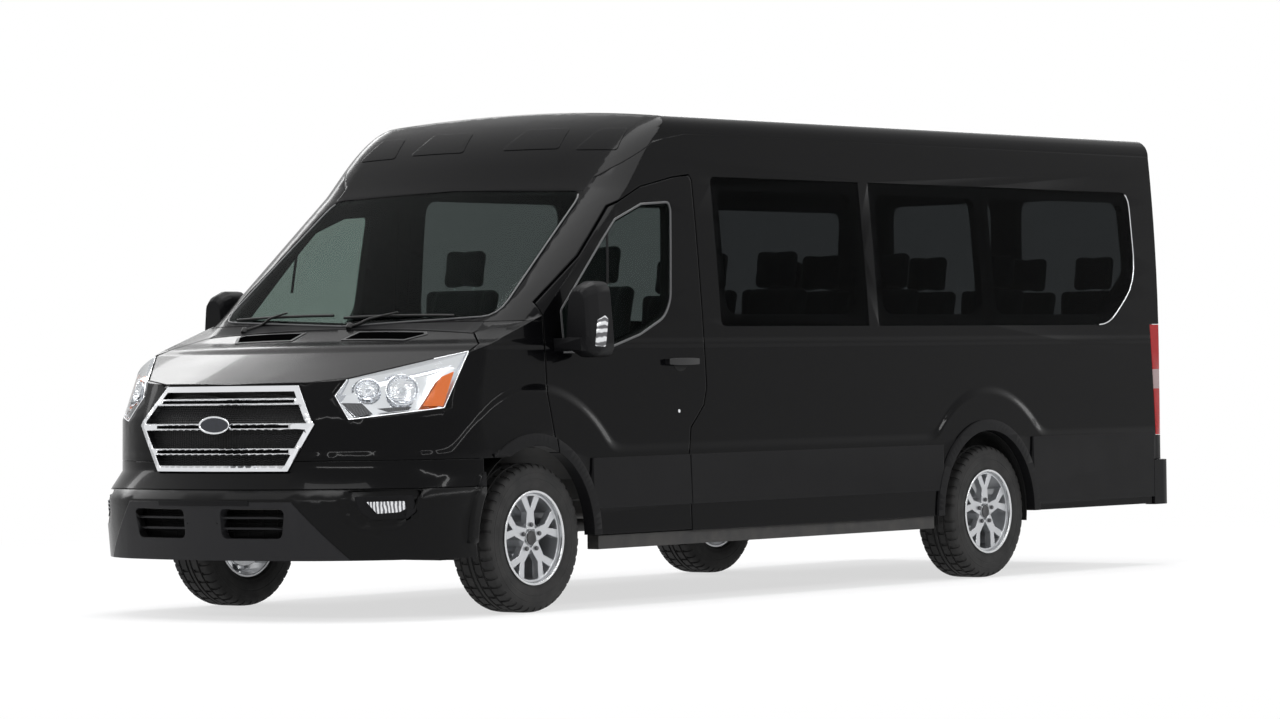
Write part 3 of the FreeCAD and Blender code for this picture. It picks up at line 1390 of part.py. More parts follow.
mirror_shape = mirror().cut(OUTER)
keep("mirror_left", mirror_shape)
keep("mirror_right", mirrored(mirror_shape))
keep("rear_bumper", rear_bumper())

for part in PARTS:
    if "Invalid" in part.State or "Error" in part.State:
        raise RuntimeError("%s: %s" % (part.Label, part.State))
    if part.Shape.isNull() or not part.Shape.isValid():
        raise RuntimeError("%s has no sound shape" % part.Label)

os.makedirs("parts", exist_ok=True)
for part in PARTS:
    part.Shape.exportStep("parts/%s.step" % part.Label)
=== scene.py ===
import json
import math

import bmesh
import bpy
from mathutils import Matrix, Vector
from mathutils.bvhtree import BVHTree


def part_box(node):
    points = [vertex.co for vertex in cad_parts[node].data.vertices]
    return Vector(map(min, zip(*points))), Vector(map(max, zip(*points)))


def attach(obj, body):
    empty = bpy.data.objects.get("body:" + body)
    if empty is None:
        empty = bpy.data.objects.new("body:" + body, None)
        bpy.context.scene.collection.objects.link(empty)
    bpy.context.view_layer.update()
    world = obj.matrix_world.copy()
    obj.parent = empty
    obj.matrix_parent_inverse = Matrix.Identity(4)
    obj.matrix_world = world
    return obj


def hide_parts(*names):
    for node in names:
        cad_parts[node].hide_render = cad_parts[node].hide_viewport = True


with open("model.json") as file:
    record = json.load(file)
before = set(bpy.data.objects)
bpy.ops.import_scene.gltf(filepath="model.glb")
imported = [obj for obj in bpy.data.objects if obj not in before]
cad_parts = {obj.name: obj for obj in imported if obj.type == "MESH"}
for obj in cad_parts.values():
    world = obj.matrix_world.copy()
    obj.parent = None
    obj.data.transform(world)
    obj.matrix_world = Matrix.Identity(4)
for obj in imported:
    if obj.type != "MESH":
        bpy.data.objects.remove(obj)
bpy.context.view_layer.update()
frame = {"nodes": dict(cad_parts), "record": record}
nodes = frame["nodes"]
ops = bpy.ops


# Camera. It stands off the left front corner at the height of the bumper with a long lens. Its
# place and turns were solved from the wheels, the roof and the nose of the vehicle.
def new_object(name, data):
    piece = bpy.data.objects.new(name, data)
    bpy.context.scene.collection.objects.link(piece)
    return piece


camera_place = Vector((14.7209, -19.2869, 1.1019))
camera_yaw, camera_pitch, camera_roll = 0.65429, -0.00205, -0.01465
camera_data = bpy.data.cameras.new("camera")
camera_data.lens = 135.5
camera_data.sensor_width = 36
camera_data.clip_end = 300
camera = new_object("camera", camera_data)
back = Vector((math.sin(camera_yaw) * math.cos(camera_pitch),
               -math.cos(camera_yaw) * math.cos(camera_pitch), math.sin(camera_pitch)))
level = (-back).cross(Vector((0, 0, 1))).normalized()
upright = level.cross(-back)
across = math.cos(camera_roll) * level + math.sin(camera_roll) * upright
up = math.cos(camera_roll) * upright - math.sin(camera_roll) * level
camera.matrix_world = Matrix.Translation(camera_place) @ Matrix((across, up, back)).transposed().to_4x4()
bpy.context.scene.camera = camera
bpy.context.scene.view_settings.view_transform = "Standard"


# Studio. A pale floor that fades into a white background for the eye, gloss and glass, and soft
# boxes above, in front and beside the vehicle, which draw the long highlights on its black paint.
def link(tree, start, end):
    tree.links.new(start, end)


def math_node(tree, operation, *values):
    """A Math node whose inputs are sockets or plain numbers."""
    node = tree.nodes.new("ShaderNodeMath")
    node.operation = operation
    for socket, value in zip(node.inputs, values):
        if isinstance(value, (int, float)):
            socket.default_value = value
        else:
            link(tree, value, socket)
    return node.outputs[0]


def map_range(tree, source, from_low, from_high, to_low=0.0, to_high=1.0, smooth=False):
    node = tree.nodes.new("ShaderNodeMapRange")
    if smooth:
        node.interpolation_type = "SMOOTHSTEP"
    for name, value in (("From Min", from_low), ("From Max", from_high),
                        ("To Min", to_low), ("To Max", to_high)):
        node.inputs[name].default_value = value
    link(tree, source, node.inputs["Value"])
    return node.outputs[0]


def seen_ray(tree):
    """1 for rays that come from the eye, a gloss or a glass."""
    path = tree.nodes.new("ShaderNodeLightPath")
    seen = math_node(tree, "MAXIMUM", path.outputs["Is Camera Ray"], path.outputs["Is Glossy Ray"])
    return math_node(tree, "MAXIMUM", seen, path.outputs["Is Transmission Ray"])


world = bpy.data.worlds.new("studio")
bpy.context.scene.world = world
world.use_nodes = True
tree = world.node_tree
shade = tree.nodes.new("ShaderNodeMix")
shade.data_type = "RGBA"
shade.inputs["A"].default_value = (0.5, 0.5, 0.52, 1)
shade.inputs["B"].default_value = (1, 1, 1, 1)
link(tree, seen_ray(tree), shade.inputs["Factor"])
link(tree, shade.outputs["Result"], tree.nodes["Background"].inputs["Color"])

ops.object.select_all(action="DESELECT")
ops.mesh.primitive_plane_add(size=160, location=(0, 0, 0))
ground = bpy.context.object
ground.name = "studio_floor"
pale = bpy.data.materials.new("studio_floor")
pale.use_nodes = True
tree = pale.node_tree
pale_shader = tree.nodes["Principled BSDF"]
pale_shader.inputs["Base Color"].default_value = (0.93, 0.93, 0.93, 1)
pale_shader.inputs["Roughness"].default_value = 0.9
pale_shader.inputs["Specular IOR Level"].default_value = 0.0
lit = tree.nodes.new("ShaderNodeEmission")
lit.inputs["Color"].default_value = (1, 1, 1, 1)
floor_place = tree.nodes.new("ShaderNodeTexCoord")
reach = tree.nodes.new("ShaderNodeVectorMath")
reach.operation = "LENGTH"
link(tree, floor_place.outputs["Object"], reach.inputs[0])
away = map_range(tree, reach.outputs["Value"], 3.2, 9.0, 0.66, 1.0, True)
over = tree.nodes.new("ShaderNodeMixShader")
link(tree, math_node(tree, "MULTIPLY", seen_ray(tree), away), over.inputs["Fac"])
link(tree, pale_shader.outputs[0], over.inputs[1])
link(tree, lit.outputs[0], over.inputs[2])
link(tree, over.outputs[0], tree.nodes["Material Output"].inputs["Surface"])
ground.data.materials.append(pale)


def soft_box(name, place, aim, width, height, power):
    """An area lamp of the given size in metres, pointed at a place on the vehicle."""
    lamp = bpy.data.lights.new(name, "AREA")
    lamp.shape = "RECTANGLE"
    lamp.size, lamp.size_y = width, height
    lamp.energy = power
    holder = new_object(name, lamp)
    holder.location = place
    holder.rotation_mode = "QUATERNION"
    holder.rotation_quaternion = (Vector(aim) - Vector(place)).to_track_quat("-Z", "Y")


soft_box("roof_box", (0, 0, 9), (0, 0, 0), 6, 13, 1000)
soft_box("front_box", (3, -13, 7), (0, -2, 1), 9, 0.8, 420)
soft_box("side_box", (12, 1, 7.5), (0, 0, 1.2), 14, 0.6, 450)
soft_box("far_box", (-12, 2, 7), (0, 0, 1.2), 14, 1.2, 350)
soft_box("rear_box", (-6, 17, 6), (0, 0, 1.8), 18, 4, 500)


# Body paint. Gloss black with a clear coat on pressed steel. Each panel is a merged copy of its CAD
# node, smooth across its faces and sharp at its edges, with the swage pressed in over the arches.
class Recipe:
    """A Principled material with the noise that its finish shows: colour, roughness and bump."""

    def __init__(self, name, colour, roughness, metal=0.0, gloss=0.5):
        self.material = bpy.data.materials.new(name)
        self.material.use_nodes = True
        self.tree = self.material.node_tree
        self.shader = self.tree.nodes["Principled BSDF"]
        self.shader.inputs["Base Color"].default_value = (*colour, 1)
        self.shader.inputs["Roughness"].default_value = roughness
        self.shader.inputs["Metallic"].default_value = metal
        self.shader.inputs["Specular IOR Level"].default_value = gloss
        self.place = self.tree.nodes.new("ShaderNodeTexCoord").outputs["Object"]
        self.normal = None

    def noise(self, scale, detail=3.0):
        texture = self.tree.nodes.new("ShaderNodeTexNoise")
        texture.inputs["Scale"].default_value = scale
        texture.inputs["Detail"].default_value = detail
        link(self.tree, self.place, texture.inputs["Vector"])
        return texture.outputs["Fac"]

    def waves(self, scale, axis, distortion=0.0):
        texture = self.tree.nodes.new("ShaderNodeTexWave")
        texture.bands_direction = axis
        texture.inputs["Scale"].default_value = scale
        texture.inputs["Distortion"].default_value = distortion
        link(self.tree, self.place, texture.inputs["Vector"])
        return texture.outputs["Fac"]

    def sum(self, operation, *values):
        return math_node(self.tree, operation, *values)

    def axes(self):
        split = self.tree.nodes.new("ShaderNodeSeparateXYZ")
        link(self.tree, self.place, split.inputs[0])
        return split.outputs

    def span(self, source, *limits):
        return map_range(self.tree, source, *limits)

    def spread(self, socket, source, low, high):
        """The socket varies between two values as the source goes from 0 to 1."""
        link(self.tree, self.span(source, 0.0, 1.0, low, high), self.shader.inputs[socket])

    def wear(self, low, high, scale, detail=3.0):
        """Uneven roughness."""
        self.spread("Roughness", self.noise(scale, detail), low, high)

    def tint(self, source, low_colour, high_colour, low=0.35, high=0.65):
        ramp = self.tree.nodes.new("ShaderNodeValToRGB")
        ramp.color_ramp.elements[0].position = low
        ramp.color_ramp.elements[1].position = high
        ramp.color_ramp.elements[0].color = (*low_colour, 1)
        ramp.color_ramp.elements[1].color = (*high_colour, 1)
        link(self.tree, source, ramp.inputs["Fac"])
        link(self.tree, ramp.outputs["Color"], self.shader.inputs["Base Color"])

    def bump(self, source, strength, distance):
        """Each further bump lies on the one before."""
        bump = self.tree.nodes.new("ShaderNodeBump")
        bump.inputs["Strength"].default_value = strength
        bump.inputs["Distance"].default_value = distance
        link(self.tree, source, bump.inputs["Height"])
        if self.normal is not None:
            link(self.tree, self.normal, bump.inputs["Normal"])
        self.normal = bump.outputs["Normal"]
        link(self.tree, self.normal, self.shader.inputs["Normal"])

    def grain(self, strength, distance, scale, detail=3.0):
        self.bump(self.noise(scale, detail), strength, distance)

    def ribs(self, strength, distance, scale, axis, distortion=0.0):
        self.bump(self.waves(scale, axis, distortion), strength, distance)

    def round_edges(self, radius):
        """Pressed and moulded edges catch the light along a small radius."""
        bevel = self.tree.nodes.new("ShaderNodeBevel")
        bevel.samples = 6
        bevel.inputs["Radius"].default_value = radius
        self.normal = bevel.outputs["Normal"]
        link(self.tree, self.normal, self.shader.inputs["Normal"])


axle_y = -2.1795
wheelbase = 3.75
hub_height = 0.342
arch_centres = (axle_y - 0.04, axle_y + wheelbase - 0.06)
arch_radius, arch_lip = 0.42, 0.056
SHOULDER_HEIGHT, WAIST_HEIGHT = 0.742, 1.225
SILL_TOP = 0.337
MOULDING_HEIGHTS, REAR_SKIRT_HEIGHTS = (0.4625, 0.6975), (0.372, 0.723)


def swage(recipe, depth):
    """The pressed shoulder: level along the side, arched over both wheels."""
    x, y, z = recipe.axes()
    edge = recipe.sum("SUBTRACT", z, SHOULDER_HEIGHT)
    for centre, radius in ((axle_y - 0.02, 0.69), (axle_y + wheelbase - 0.04, 0.632)):
        across_part = recipe.sum("SUBTRACT", y, centre)
        up_part = recipe.sum("SUBTRACT", z, hub_height)
        across_square = recipe.sum("POWER", across_part, 2.0)
        square = recipe.sum("ADD", across_square, recipe.sum("POWER", up_part, 2.0))
        ring = recipe.sum("SUBTRACT", recipe.sum("POWER", square, 0.5), radius)
        edge = recipe.sum("SMOOTH_MIN", edge, ring, 0.09)
    recipe.bump(recipe.span(edge, -0.03, 0.022, 1.0, 0.0, True), 1.0, depth)
    waist = recipe.sum("ABSOLUTE", recipe.sum("SUBTRACT", z, WAIST_HEIGHT))
    recipe.bump(recipe.span(waist, 0.0, 0.03, 1.0, 0.0, True), 1.0, depth * 0.5)


def only(piece):
    ops.object.select_all(action="DESELECT")
    piece.select_set(True)
    bpy.context.view_layer.objects.active = piece


def edit(piece, mode="VERT"):
    """Opens a piece by itself in edit mode, with all of it selected."""
    only(piece)
    ops.object.mode_set(mode="EDIT")
    ops.mesh.select_mode(type=mode)
    ops.mesh.select_all(action="SELECT")


def merged_copy(name, suffix, merge=0.00002):
    """A copy of a CAD node with its loose triangles joined."""
    mesh = nodes[name].data.copy()
    piece = new_object(name + suffix, mesh)
    mesh.name = piece.name
    shape = bmesh.new()
    shape.from_mesh(mesh)
    bmesh.ops.remove_doubles(shape, verts=shape.verts, dist=merge)
    bmesh.ops.dissolve_degenerate(shape, edges=shape.edges, dist=merge)
    shape.to_mesh(mesh)
    shape.free()
    mesh.materials.clear()
    return piece


def smooth(piece, sharp_angle=28):
    only(piece)
    ops.object.shade_smooth_by_angle(angle=math.radians(sharp_angle))
    weighted = piece.modifiers.new("even_normals", "WEIGHTED_NORMAL")
    weighted.mode = "FACE_AREA_WITH_ANGLE"
    weighted.keep_sharp = True
    weighted.weight = 80
    ops.object.modifier_apply(modifier=weighted.name)


def panel(names, recipes, choose=None, sharp_angle=28):
    """Smooth copies of CAD nodes, which they replace. choose gives a face's place in recipes."""
    for name in names:
        piece = merged_copy(name, "_panel")
        for recipe in recipes:
            piece.data.materials.append(recipe.material)
        if choose is not None:
            for face in piece.data.polygons:
                face.material_index = choose(face.center, face.normal)
        smooth(piece, sharp_angle)
        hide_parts(name)
        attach(piece, body_of[name])


body_of = {}
for body, members in frame["record"]["behaviour"]["bodies"].items():
    for member in members:
        body_of[member] = body

black = Recipe("black_paint", (0.0017, 0.0017, 0.002), 0.2, gloss=0.025)
black.shader.inputs["Coat Weight"].default_value = 0.12
black.shader.inputs["Coat Roughness"].default_value = 0.03
black.wear(0.16, 0.26, 3.0)
black.round_edges(0.006)
swage(black, 0.016)
black.grain(0.012, 0.0004, 160.0, 2.0)
link(black.tree, black.normal, black.shader.inputs["Coat Normal"])

satin = Recipe("satin_trim", (0.0045, 0.0045, 0.005), 0.45, gloss=0.09)
satin.wear(0.4, 0.55, 5.0)
satin.round_edges(0.005)
satin.grain(0.2, 0.0003, 900.0, 2.0)


def paint_or_trim(centre, normal):
    """Arch lips and side mouldings are bolted-on plastic; the rest of a side is painted."""
    if abs(centre.x) < 0.88:
        return 0
    if centre.z < SILL_TOP:
        return 1
    for arch in arch_centres:
        ring = math.hypot(centre.y - arch, centre.z - hub_height)
        if ring < arch_radius + arch_lip + 0.002:
            return 1
    between_arches = arch_centres[0] + arch_radius < centre.y < arch_centres[1] - arch_radius
    if between_arches and abs(centre.x) > 1.0:
        low, high = MOULDING_HEIGHTS
    elif centre.y > arch_centres[1] + arch_radius and abs(centre.x) > 0.99:
        low, high = REAR_SKIRT_HEIGHTS
    else:
        return 0
    return 1 if low < centre.z < high else 0


PAINTED = ["side_left", "side_right", "sliding_door_right", "roof", "fenders", "hood", "front_bumper",
           "front_door_left", "front_door_right", "rear_door_left", "rear_door_right"]
panel(PAINTED, [black, satin], paint_or_trim)


# Moulded trim. The cowl and the rear bumper are grained satin black plastic. The valance is black too,
# with a dark grey field round the lower intake, and clips to the bumper above it.
panel(["cowl", "rear_bumper"], [satin])
valance_skin = Recipe("valance_plastic", (0.006, 0.006, 0.007), 0.35, gloss=0.12)
x, y, z = valance_skin.axes()
reach = valance_skin.sum("ABSOLUTE", x)
slant = valance_skin.span(z, 0.273, 0.535, 0.725, 0.49)
field = valance_skin.span(valance_skin.sum("SUBTRACT", reach, slant), -0.004, 0.004, 1.0, 0.0, True)
below = valance_skin.span(z, 0.533, 0.538, 1.0, 0.0, True)
field = valance_skin.sum("MULTIPLY", field, below)
valance_skin.tint(field, (0.0018, 0.0018, 0.002), (0.014, 0.014, 0.015), 0.1, 0.9)
valance_skin.spread("Roughness", field, 0.24, 0.5)
valance_skin.round_edges(0.008)
valance_skin.bump(field, 1.0, 0.012)
valance_skin.grain(0.15, 0.0003, 900.0, 2.0)
# Partly painted shade: the near-black of the intake's faces and ducts stands for shade deep in the intake.
intake_shade_black = Recipe("shadow_black", (0.004, 0.004, 0.004), 0.8, gloss=0.1)
intake_shade_black.ribs(0.5, 0.002, 60.0, "Z")


def valance_face(centre, normal):
    """The inner faces of the intake stay matt black, a near-black that is partly painted shade."""
    inside = abs(centre.x) < 0.46 and 0.37 < centre.z < 0.507 and centre.y > axle_y - 1.1
    return 1 if inside and abs(centre.x) > 0.105 else 0


panel(["front_valance"], [valance_skin, intake_shade_black], valance_face)


# Grille. Moulded plastic, clipped into the bumper: a bright rim and three double bars, chromed on
# their faces, over a black mesh plate.
bright = Recipe("bright_metal", (0.72, 0.73, 0.75), 0.14, metal=1.0)
bright.wear(0.1, 0.2, 20.0)
bright.round_edges(0.003)
mesh_black = Recipe("mesh_plate", (0.005, 0.005, 0.0055), 0.5, gloss=0.3)
mesh_black.ribs(0.9, 0.004, 34.0, "Z")
mesh_black.ribs(0.6, 0.003, 20.0, "X")


def grille_face(centre, normal):
    """Bright where a face lies on the nose's skin, black further in."""
    lean = 0.487 * max(0.0, centre.z - 0.9)
    skin = axle_y - 1.051 + lean + centre.x ** 2 / 4.088
    return 0 if centre.y - skin < 0.006 and normal.y < -0.3 else 1


panel(["grille"], [bright, mesh_black], grille_face)


# Badge place. A plain plastic oval, clipped on the middle bars, dark with a bright plated edge and
# nothing on it.
def applied(name, size=(1, 1, 1)):
    """Names the primitive just added, and puts its place, turn and size into its mesh."""
    piece = bpy.context.object
    piece.name = name
    piece.scale = size
    ops.object.transform_apply(location=True, rotation=True, scale=True)
    return piece


def cylinder(name, vertices, radius, depth, place, lean, size=(1, 1, 1)):
    """lean: the turn about the x axis."""
    ops.object.select_all(action="DESELECT")
    ops.mesh.primitive_cylinder_add(vertices=vertices, radius=radius, depth=depth, location=place,
                                    rotation=(lean, 0, 0))
    return applied(name, size)


def choose_faces(piece, chosen):
    """Of a piece in edit mode, selects the faces for which the function says yes."""
    ops.mesh.select_all(action="DESELECT")
    shape = bmesh.from_edit_mesh(piece.data)
    for face in shape.faces:
        face.select = chosen(face)
    bmesh.update_edit_mesh(piece.data)


def faces_front(face):
    return face.normal.y < -0.9


def round_off(piece, width, segments):
    only(piece)
    rounded = piece.modifiers.new("round_off", "BEVEL")
    rounded.width = width
    rounded.segments = segments
    rounded.limit_method = "ANGLE"
    ops.object.modifier_apply(modifier="round_off")


dark_oval = Recipe("badge_dark", (0.006, 0.008, 0.014), 0.15, gloss=0.5)
dark_oval.tint(dark_oval.noise(40.0), (0.005, 0.007, 0.012), (0.008, 0.01, 0.018))
badge = cylinder("badge_oval", 64, 0.06, 0.016, (0, axle_y - 1.066, 0.878), math.radians(90), (1.55, 0.68, 1))
badge.data.materials.append(bright.material)
badge.data.materials.append(dark_oval.material)
edit(badge, "FACE")
choose_faces(badge, faces_front)
ops.mesh.inset(thickness=0.006, depth=0)
ops.mesh.inset(thickness=0.002, depth=-0.004)
badge.active_material_index = 1
ops.object.material_slot_assign()
ops.object.mode_set(mode="OBJECT")
round_off(badge, 0.002, 2)
smooth(badge, 40)
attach(badge, "body")


# Glass. The windshield and the cab windows are lightly tinted, the side band and the rear windows
# are dark, and all are bonded flush over black borders.
def glazing(name, tint, haze):
    """A thin tinted pane: what lies behind shows through it, under a glossy face."""
    pane = Recipe(name, (0.004, 0.005, 0.005), 0.02)
    clear = pane.tree.nodes.new("ShaderNodeBsdfTransparent")
    clear.inputs["Color"].default_value = (*tint, 1)
    mix = pane.tree.nodes.new("ShaderNodeMixShader")
    facing = pane.tree.nodes.new("ShaderNodeLayerWeight")
    facing.inputs["Blend"].default_value = 0.5
    grazing = pane.sum("POWER", facing.outputs["Facing"], 5.0)
    link(pane.tree, pane.span(grazing, 0.0, 1.0, haze, 1.0), mix.inputs["Fac"])
    link(pane.tree, clear.outputs[0], mix.inputs[1])
    link(pane.tree, pane.shader.outputs[0], mix.inputs[2])
    link(pane.tree, mix.outputs[0], pane.tree.nodes["Material Output"].inputs["Surface"])
    pane.wear(0.01, 0.04, 4.0)
    return pane


cab_glass = glazing("cab_glass", (0.6, 0.65, 0.63), 0.03)
dark_glass = glazing("dark_glass", (0.36, 0.37, 0.375), 0.03)
panel(["windshield", "front_door_glass_left", "front_door_glass_right"], [cab_glass])
panel(["side_glass", "rear_door_glass_left", "rear_door_glass_right"], [dark_glass])


# Rubber seals and bright edges. Tubes drawn from the panes' own outlines: the front door windows,
# the windshield and the curved rear end of the side band.
def fix(piece, recipe, sharp_angle, body="body"):
    """The last of each piece: its material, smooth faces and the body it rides."""
    piece.data.materials.append(recipe.material)
    smooth(piece, sharp_angle)
    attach(piece, body)


def edge_tube(name, source, radius, keep_edge, recipe, body="body"):
    """A thin tube along the chosen edges of a CAD node."""
    tube = merged_copy(source, "_" + name)
    edit(tube, "EDGE")
    ops.mesh.select_all(action="DESELECT")
    shape = bmesh.from_edit_mesh(tube.data)
    for edge in shape.edges:
        sharp = len(edge.link_faces) == 2 and edge.calc_face_angle(0) > 0.9
        middle = (edge.verts[0].co + edge.verts[1].co) / 2
        edge.select = sharp and keep_edge(middle, edge)
    bmesh.update_edit_mesh(tube.data)
    ops.mesh.select_all(action="INVERT")
    ops.mesh.delete(type="EDGE")
    ops.object.mode_set(mode="OBJECT")
    ops.object.convert(target="CURVE")
    tube.data.bevel_depth = radius
    tube.data.bevel_resolution = 2
    tube.data.use_fill_caps = True
    ops.object.convert(target="MESH")
    tube = bpy.context.object
    tube.name = name
    tube.data.materials.clear()
    fix(tube, recipe, 60, body)


seal = Recipe("seal_rubber", (0.05, 0.051, 0.053), 0.35, gloss=0.5)
seal.wear(0.28, 0.42, 40.0)
SIDES = (("left", 1), ("right", -1))
for side, sign in SIDES:
    def outer_edge(middle, edge, sign=sign):
        """Edges of the pane's outer face, which lies further out than its twin."""
        return any(face.normal.x * sign > 0.8 for face in edge.link_faces)

    edge_tube("door_window_seal_" + side, "front_door_glass_" + side, 0.006, outer_edge, seal,
              "door_" + side)


def band_end(middle, edge):
    """The bright line runs round the rear end of the band alone."""
    outer = any(abs(face.normal.x) > 0.8 and face.normal.x * middle.x > 0 for face in edge.link_faces)
    behind = middle.y > axle_y + 4.9 or (middle.y > axle_y + 4.75 and middle.z < 1.35)
    return outer and behind and middle.z < 2.01


edge_tube("band_edge", "side_glass", 0.0035, band_end, bright)


def shield_edge(middle, edge):
    return any(face.normal.y < -0.3 for face in edge.link_faces)


edge_tube("windshield_seal", "windshield", 0.005, shield_edge, seal)


# Headlamps. A clear cover over a silvered housing with two ribbed bowls, a smoked turn unit in the low
# inner corner and an orange side reflector. The cover is the CAD pane; the rest stands inside it.
def surface_tree(name):
    shape = bmesh.new()
    shape.from_mesh(nodes[name].data)
    tree = BVHTree.FromBMesh(shape)
    shape.free()
    return tree


def outline_piece(name, points, closed=True):
    """A ring of edges, or an open line: a circle whose points are put in their places."""
    ops.object.select_all(action="DESELECT")
    ops.mesh.primitive_circle_add(vertices=len(points), radius=1)
    piece = bpy.context.object
    piece.name = name
    piece.data.name = name
    for vertex, place in zip(piece.data.vertices, points):
        vertex.co = place
    if not closed:
        edit(piece, "EDGE")
        ops.mesh.select_all(action="DESELECT")
        shape = bmesh.from_edit_mesh(piece.data)
        shape.verts.ensure_lookup_table()
        shape.edges.get((shape.verts[0], shape.verts[-1])).select = True
        bmesh.update_edit_mesh(piece.data)
        ops.mesh.delete(type="EDGE")
        ops.object.mode_set(mode="OBJECT")
    return piece


def thicken(piece, thickness, offset):
    only(piece)
    wall = piece.modifiers.new("thickness", "SOLIDIFY")
    wall.thickness = thickness
    wall.offset = offset
    ops.object.modifier_apply(modifier="thickness")


def patch(name, outline, node_name, toward, raised, thickness, recipe, body="body", slot="trim",
          strips=8, corner=0.0, edge=0.0008):
    """A thin plate that follows a CAD surface. outline: places near the surface, in order; toward:
    the direction in which they are driven onto it; raised: how far its face stands out."""
    skin = surface_tree(node_name)
    toward = Vector(toward).normalized()
    piece = outline_piece(name, outline)
    edit(piece)
    ops.mesh.edge_face_add()
    if corner:
        ops.mesh.bevel(offset=corner, segments=4, profile=0.5, affect="VERTICES")
    places = [vert.co.copy() for vert in bmesh.from_edit_mesh(piece.data).verts]
    low = Vector([min(place[i] for place in places) for i in range(3)])
    high = Vector([max(place[i] for place in places) for i in range(3)])
    spans = [(high - low)[i] if abs(toward[i]) < 0.9 else 0.0 for i in range(3)]
    for axis in sorted(range(3), key=lambda i: -spans[i])[:2]:
        count = max(1, round(strips * spans[axis] / max(spans)))
        across_axis = Vector([1.0 if i == axis else 0.0 for i in range(3)])
        for step in range(1, count):
            ops.mesh.select_all(action="SELECT")
            ops.mesh.bisect(plane_co=low + across_axis * spans[axis] * step / count, plane_no=across_axis,
                            threshold=0.0)
    ops.object.mode_set(mode="OBJECT")
    for vertex in piece.data.vertices:
        hit, normal, _, _ = skin.ray_cast(vertex.co - toward * 0.5, toward)
        if hit is None:
            hit, normal, _, _ = skin.find_nearest(vertex.co)
            normal = -toward
        vertex.co = hit + (normal if normal.dot(toward) < 0 else -normal) * raised
    edit(piece)
    ops.mesh.normals_make_consistent(inside=False)
    ops.object.mode_set(mode="OBJECT")
    if sum((face.normal for face in piece.data.polygons), Vector()).dot(toward) > 0:
        piece.data.flip_normals()
    thicken(piece, thickness, -1)
    if edge:
        round_off(piece, edge, 2)
    fix(piece, recipe, 35, body)


def mirrored(points, sign):
    return [(sign * x, y, z) for x, y, z in points]


def of_side(name, side):
    """A name that ends in _ has one for each side."""
    return name + side if name.endswith("_") else name


def both_sides(name, outline, node_name, toward, raised, thickness, recipe, body="body", **more):
    for side, sign in SIDES:
        push = (sign * toward[0], toward[1], toward[2])
        patch(name + "_" + side, mirrored(outline, sign), of_side(node_name, side), push, raised, thickness,
              recipe, of_side(body, side), **more)


lamp_cover = glazing("lamp_cover", (0.93, 0.94, 0.945), 0.06)
silver = Recipe("lamp_silver", (0.82, 0.83, 0.85), 0.16, metal=1.0)
silver.wear(0.1, 0.24, 14.0)
silver.grain(0.25, 0.01, 9.0, 1.0)
bowl_silver = Recipe("bowl_silver", (0.8, 0.81, 0.83), 0.07, metal=1.0)
bowl_silver.ribs(0.35, 0.004, 26.0, "Z")
bulb_glass = Recipe("bulb_glass", (0.5, 0.52, 0.54), 0.08, gloss=0.8)
bulb_glass.tint(bulb_glass.noise(60.0), (0.35, 0.36, 0.38), (0.6, 0.62, 0.64))
# The amber's lighter and darker bands, at the ribs' spacing, are painted glints of its prisms.
amber = Recipe("amber_reflector", (0.75, 0.14, 0.01), 0.18, gloss=0.6)
amber.tint(amber.waves(120.0, "Z"), (0.62, 0.1, 0.006), (0.85, 0.19, 0.015))
amber.ribs(0.3, 0.001, 120.0, "Z")
# The smoked unit's pale stripes in its colour are painted reflections of the reflector inside it.
smoked = Recipe("smoked_unit", (0.03, 0.031, 0.033), 0.1, gloss=0.9)
smoked.tint(smoked.waves(55.0, "X"), (0.012, 0.012, 0.013), (0.11, 0.11, 0.115))


def lamp_face(centre, normal):
    """The cover is the face that looks out along the nose; behind it the housing is silvered."""
    outward = Vector((math.copysign(0.6, centre.x), -0.72, 0.35))
    return 0 if normal.dot(outward) > 0.45 else 1


panel(["headlamps"], [lamp_cover, silver], lamp_face, 18)


def lamp_edge(middle, edge):
    facing_out = [lamp_face(face.calc_center_median(), face.normal) == 0 for face in edge.link_faces]
    return facing_out.count(True) == 1


edge_tube("lamp_rim", "headlamps", 0.0026, lamp_edge, silver)
BOWL_OUTLINE = [(1.05, 0.001), (1.05, 0.004), (1.0, 0.005), (0.96, 0.002), (0.9, -0.008), (0.76, -0.018),
                (0.58, -0.026), (0.4, -0.03), (0.27, -0.032), (0.26, -0.02), (0.2, -0.016), (0.1, -0.013),
                (0.0, -0.0125)]


def spin_round(piece, centre, axis, angle, steps):
    """An outline spun about an axis, and joined where the turn closes."""
    edit(piece)
    ops.mesh.spin(steps=steps, angle=angle, center=centre, axis=axis, use_auto_merge=True)
    ops.mesh.select_all(action="SELECT")
    ops.mesh.remove_doubles(threshold=0.00001)
    ops.mesh.normals_make_consistent(inside=False)
    ops.object.mode_set(mode="OBJECT")


def bowl(name, place, outward, radius, flatten):
    """A ribbed reflector spun about its own axis, with its bulb shield in the middle."""
    piece = outline_piece(name, [(share * radius, 0, depth) for share, depth in BOWL_OUTLINE], False)
    mesh = piece.data
    spin_round(piece, (0, 0, 0), (0, 0, 1), math.tau, 28)
    if sum(face.normal.z for face in mesh.polygons) < 0:
        mesh.flip_normals()
    turn = Vector(outward).to_track_quat("Z", "Y").to_matrix().to_4x4()
    mesh.transform(Matrix.Translation(place) @ turn @ Matrix.Diagonal((1, flatten, 1, 1)))
    mesh.materials.append(bowl_silver.material)
    mesh.materials.append(bulb_glass.material)
    for face in mesh.polygons:
        if (face.center - Vector(place)).length < radius * 0.3:
            face.material_index = 1
    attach(piece, "body")


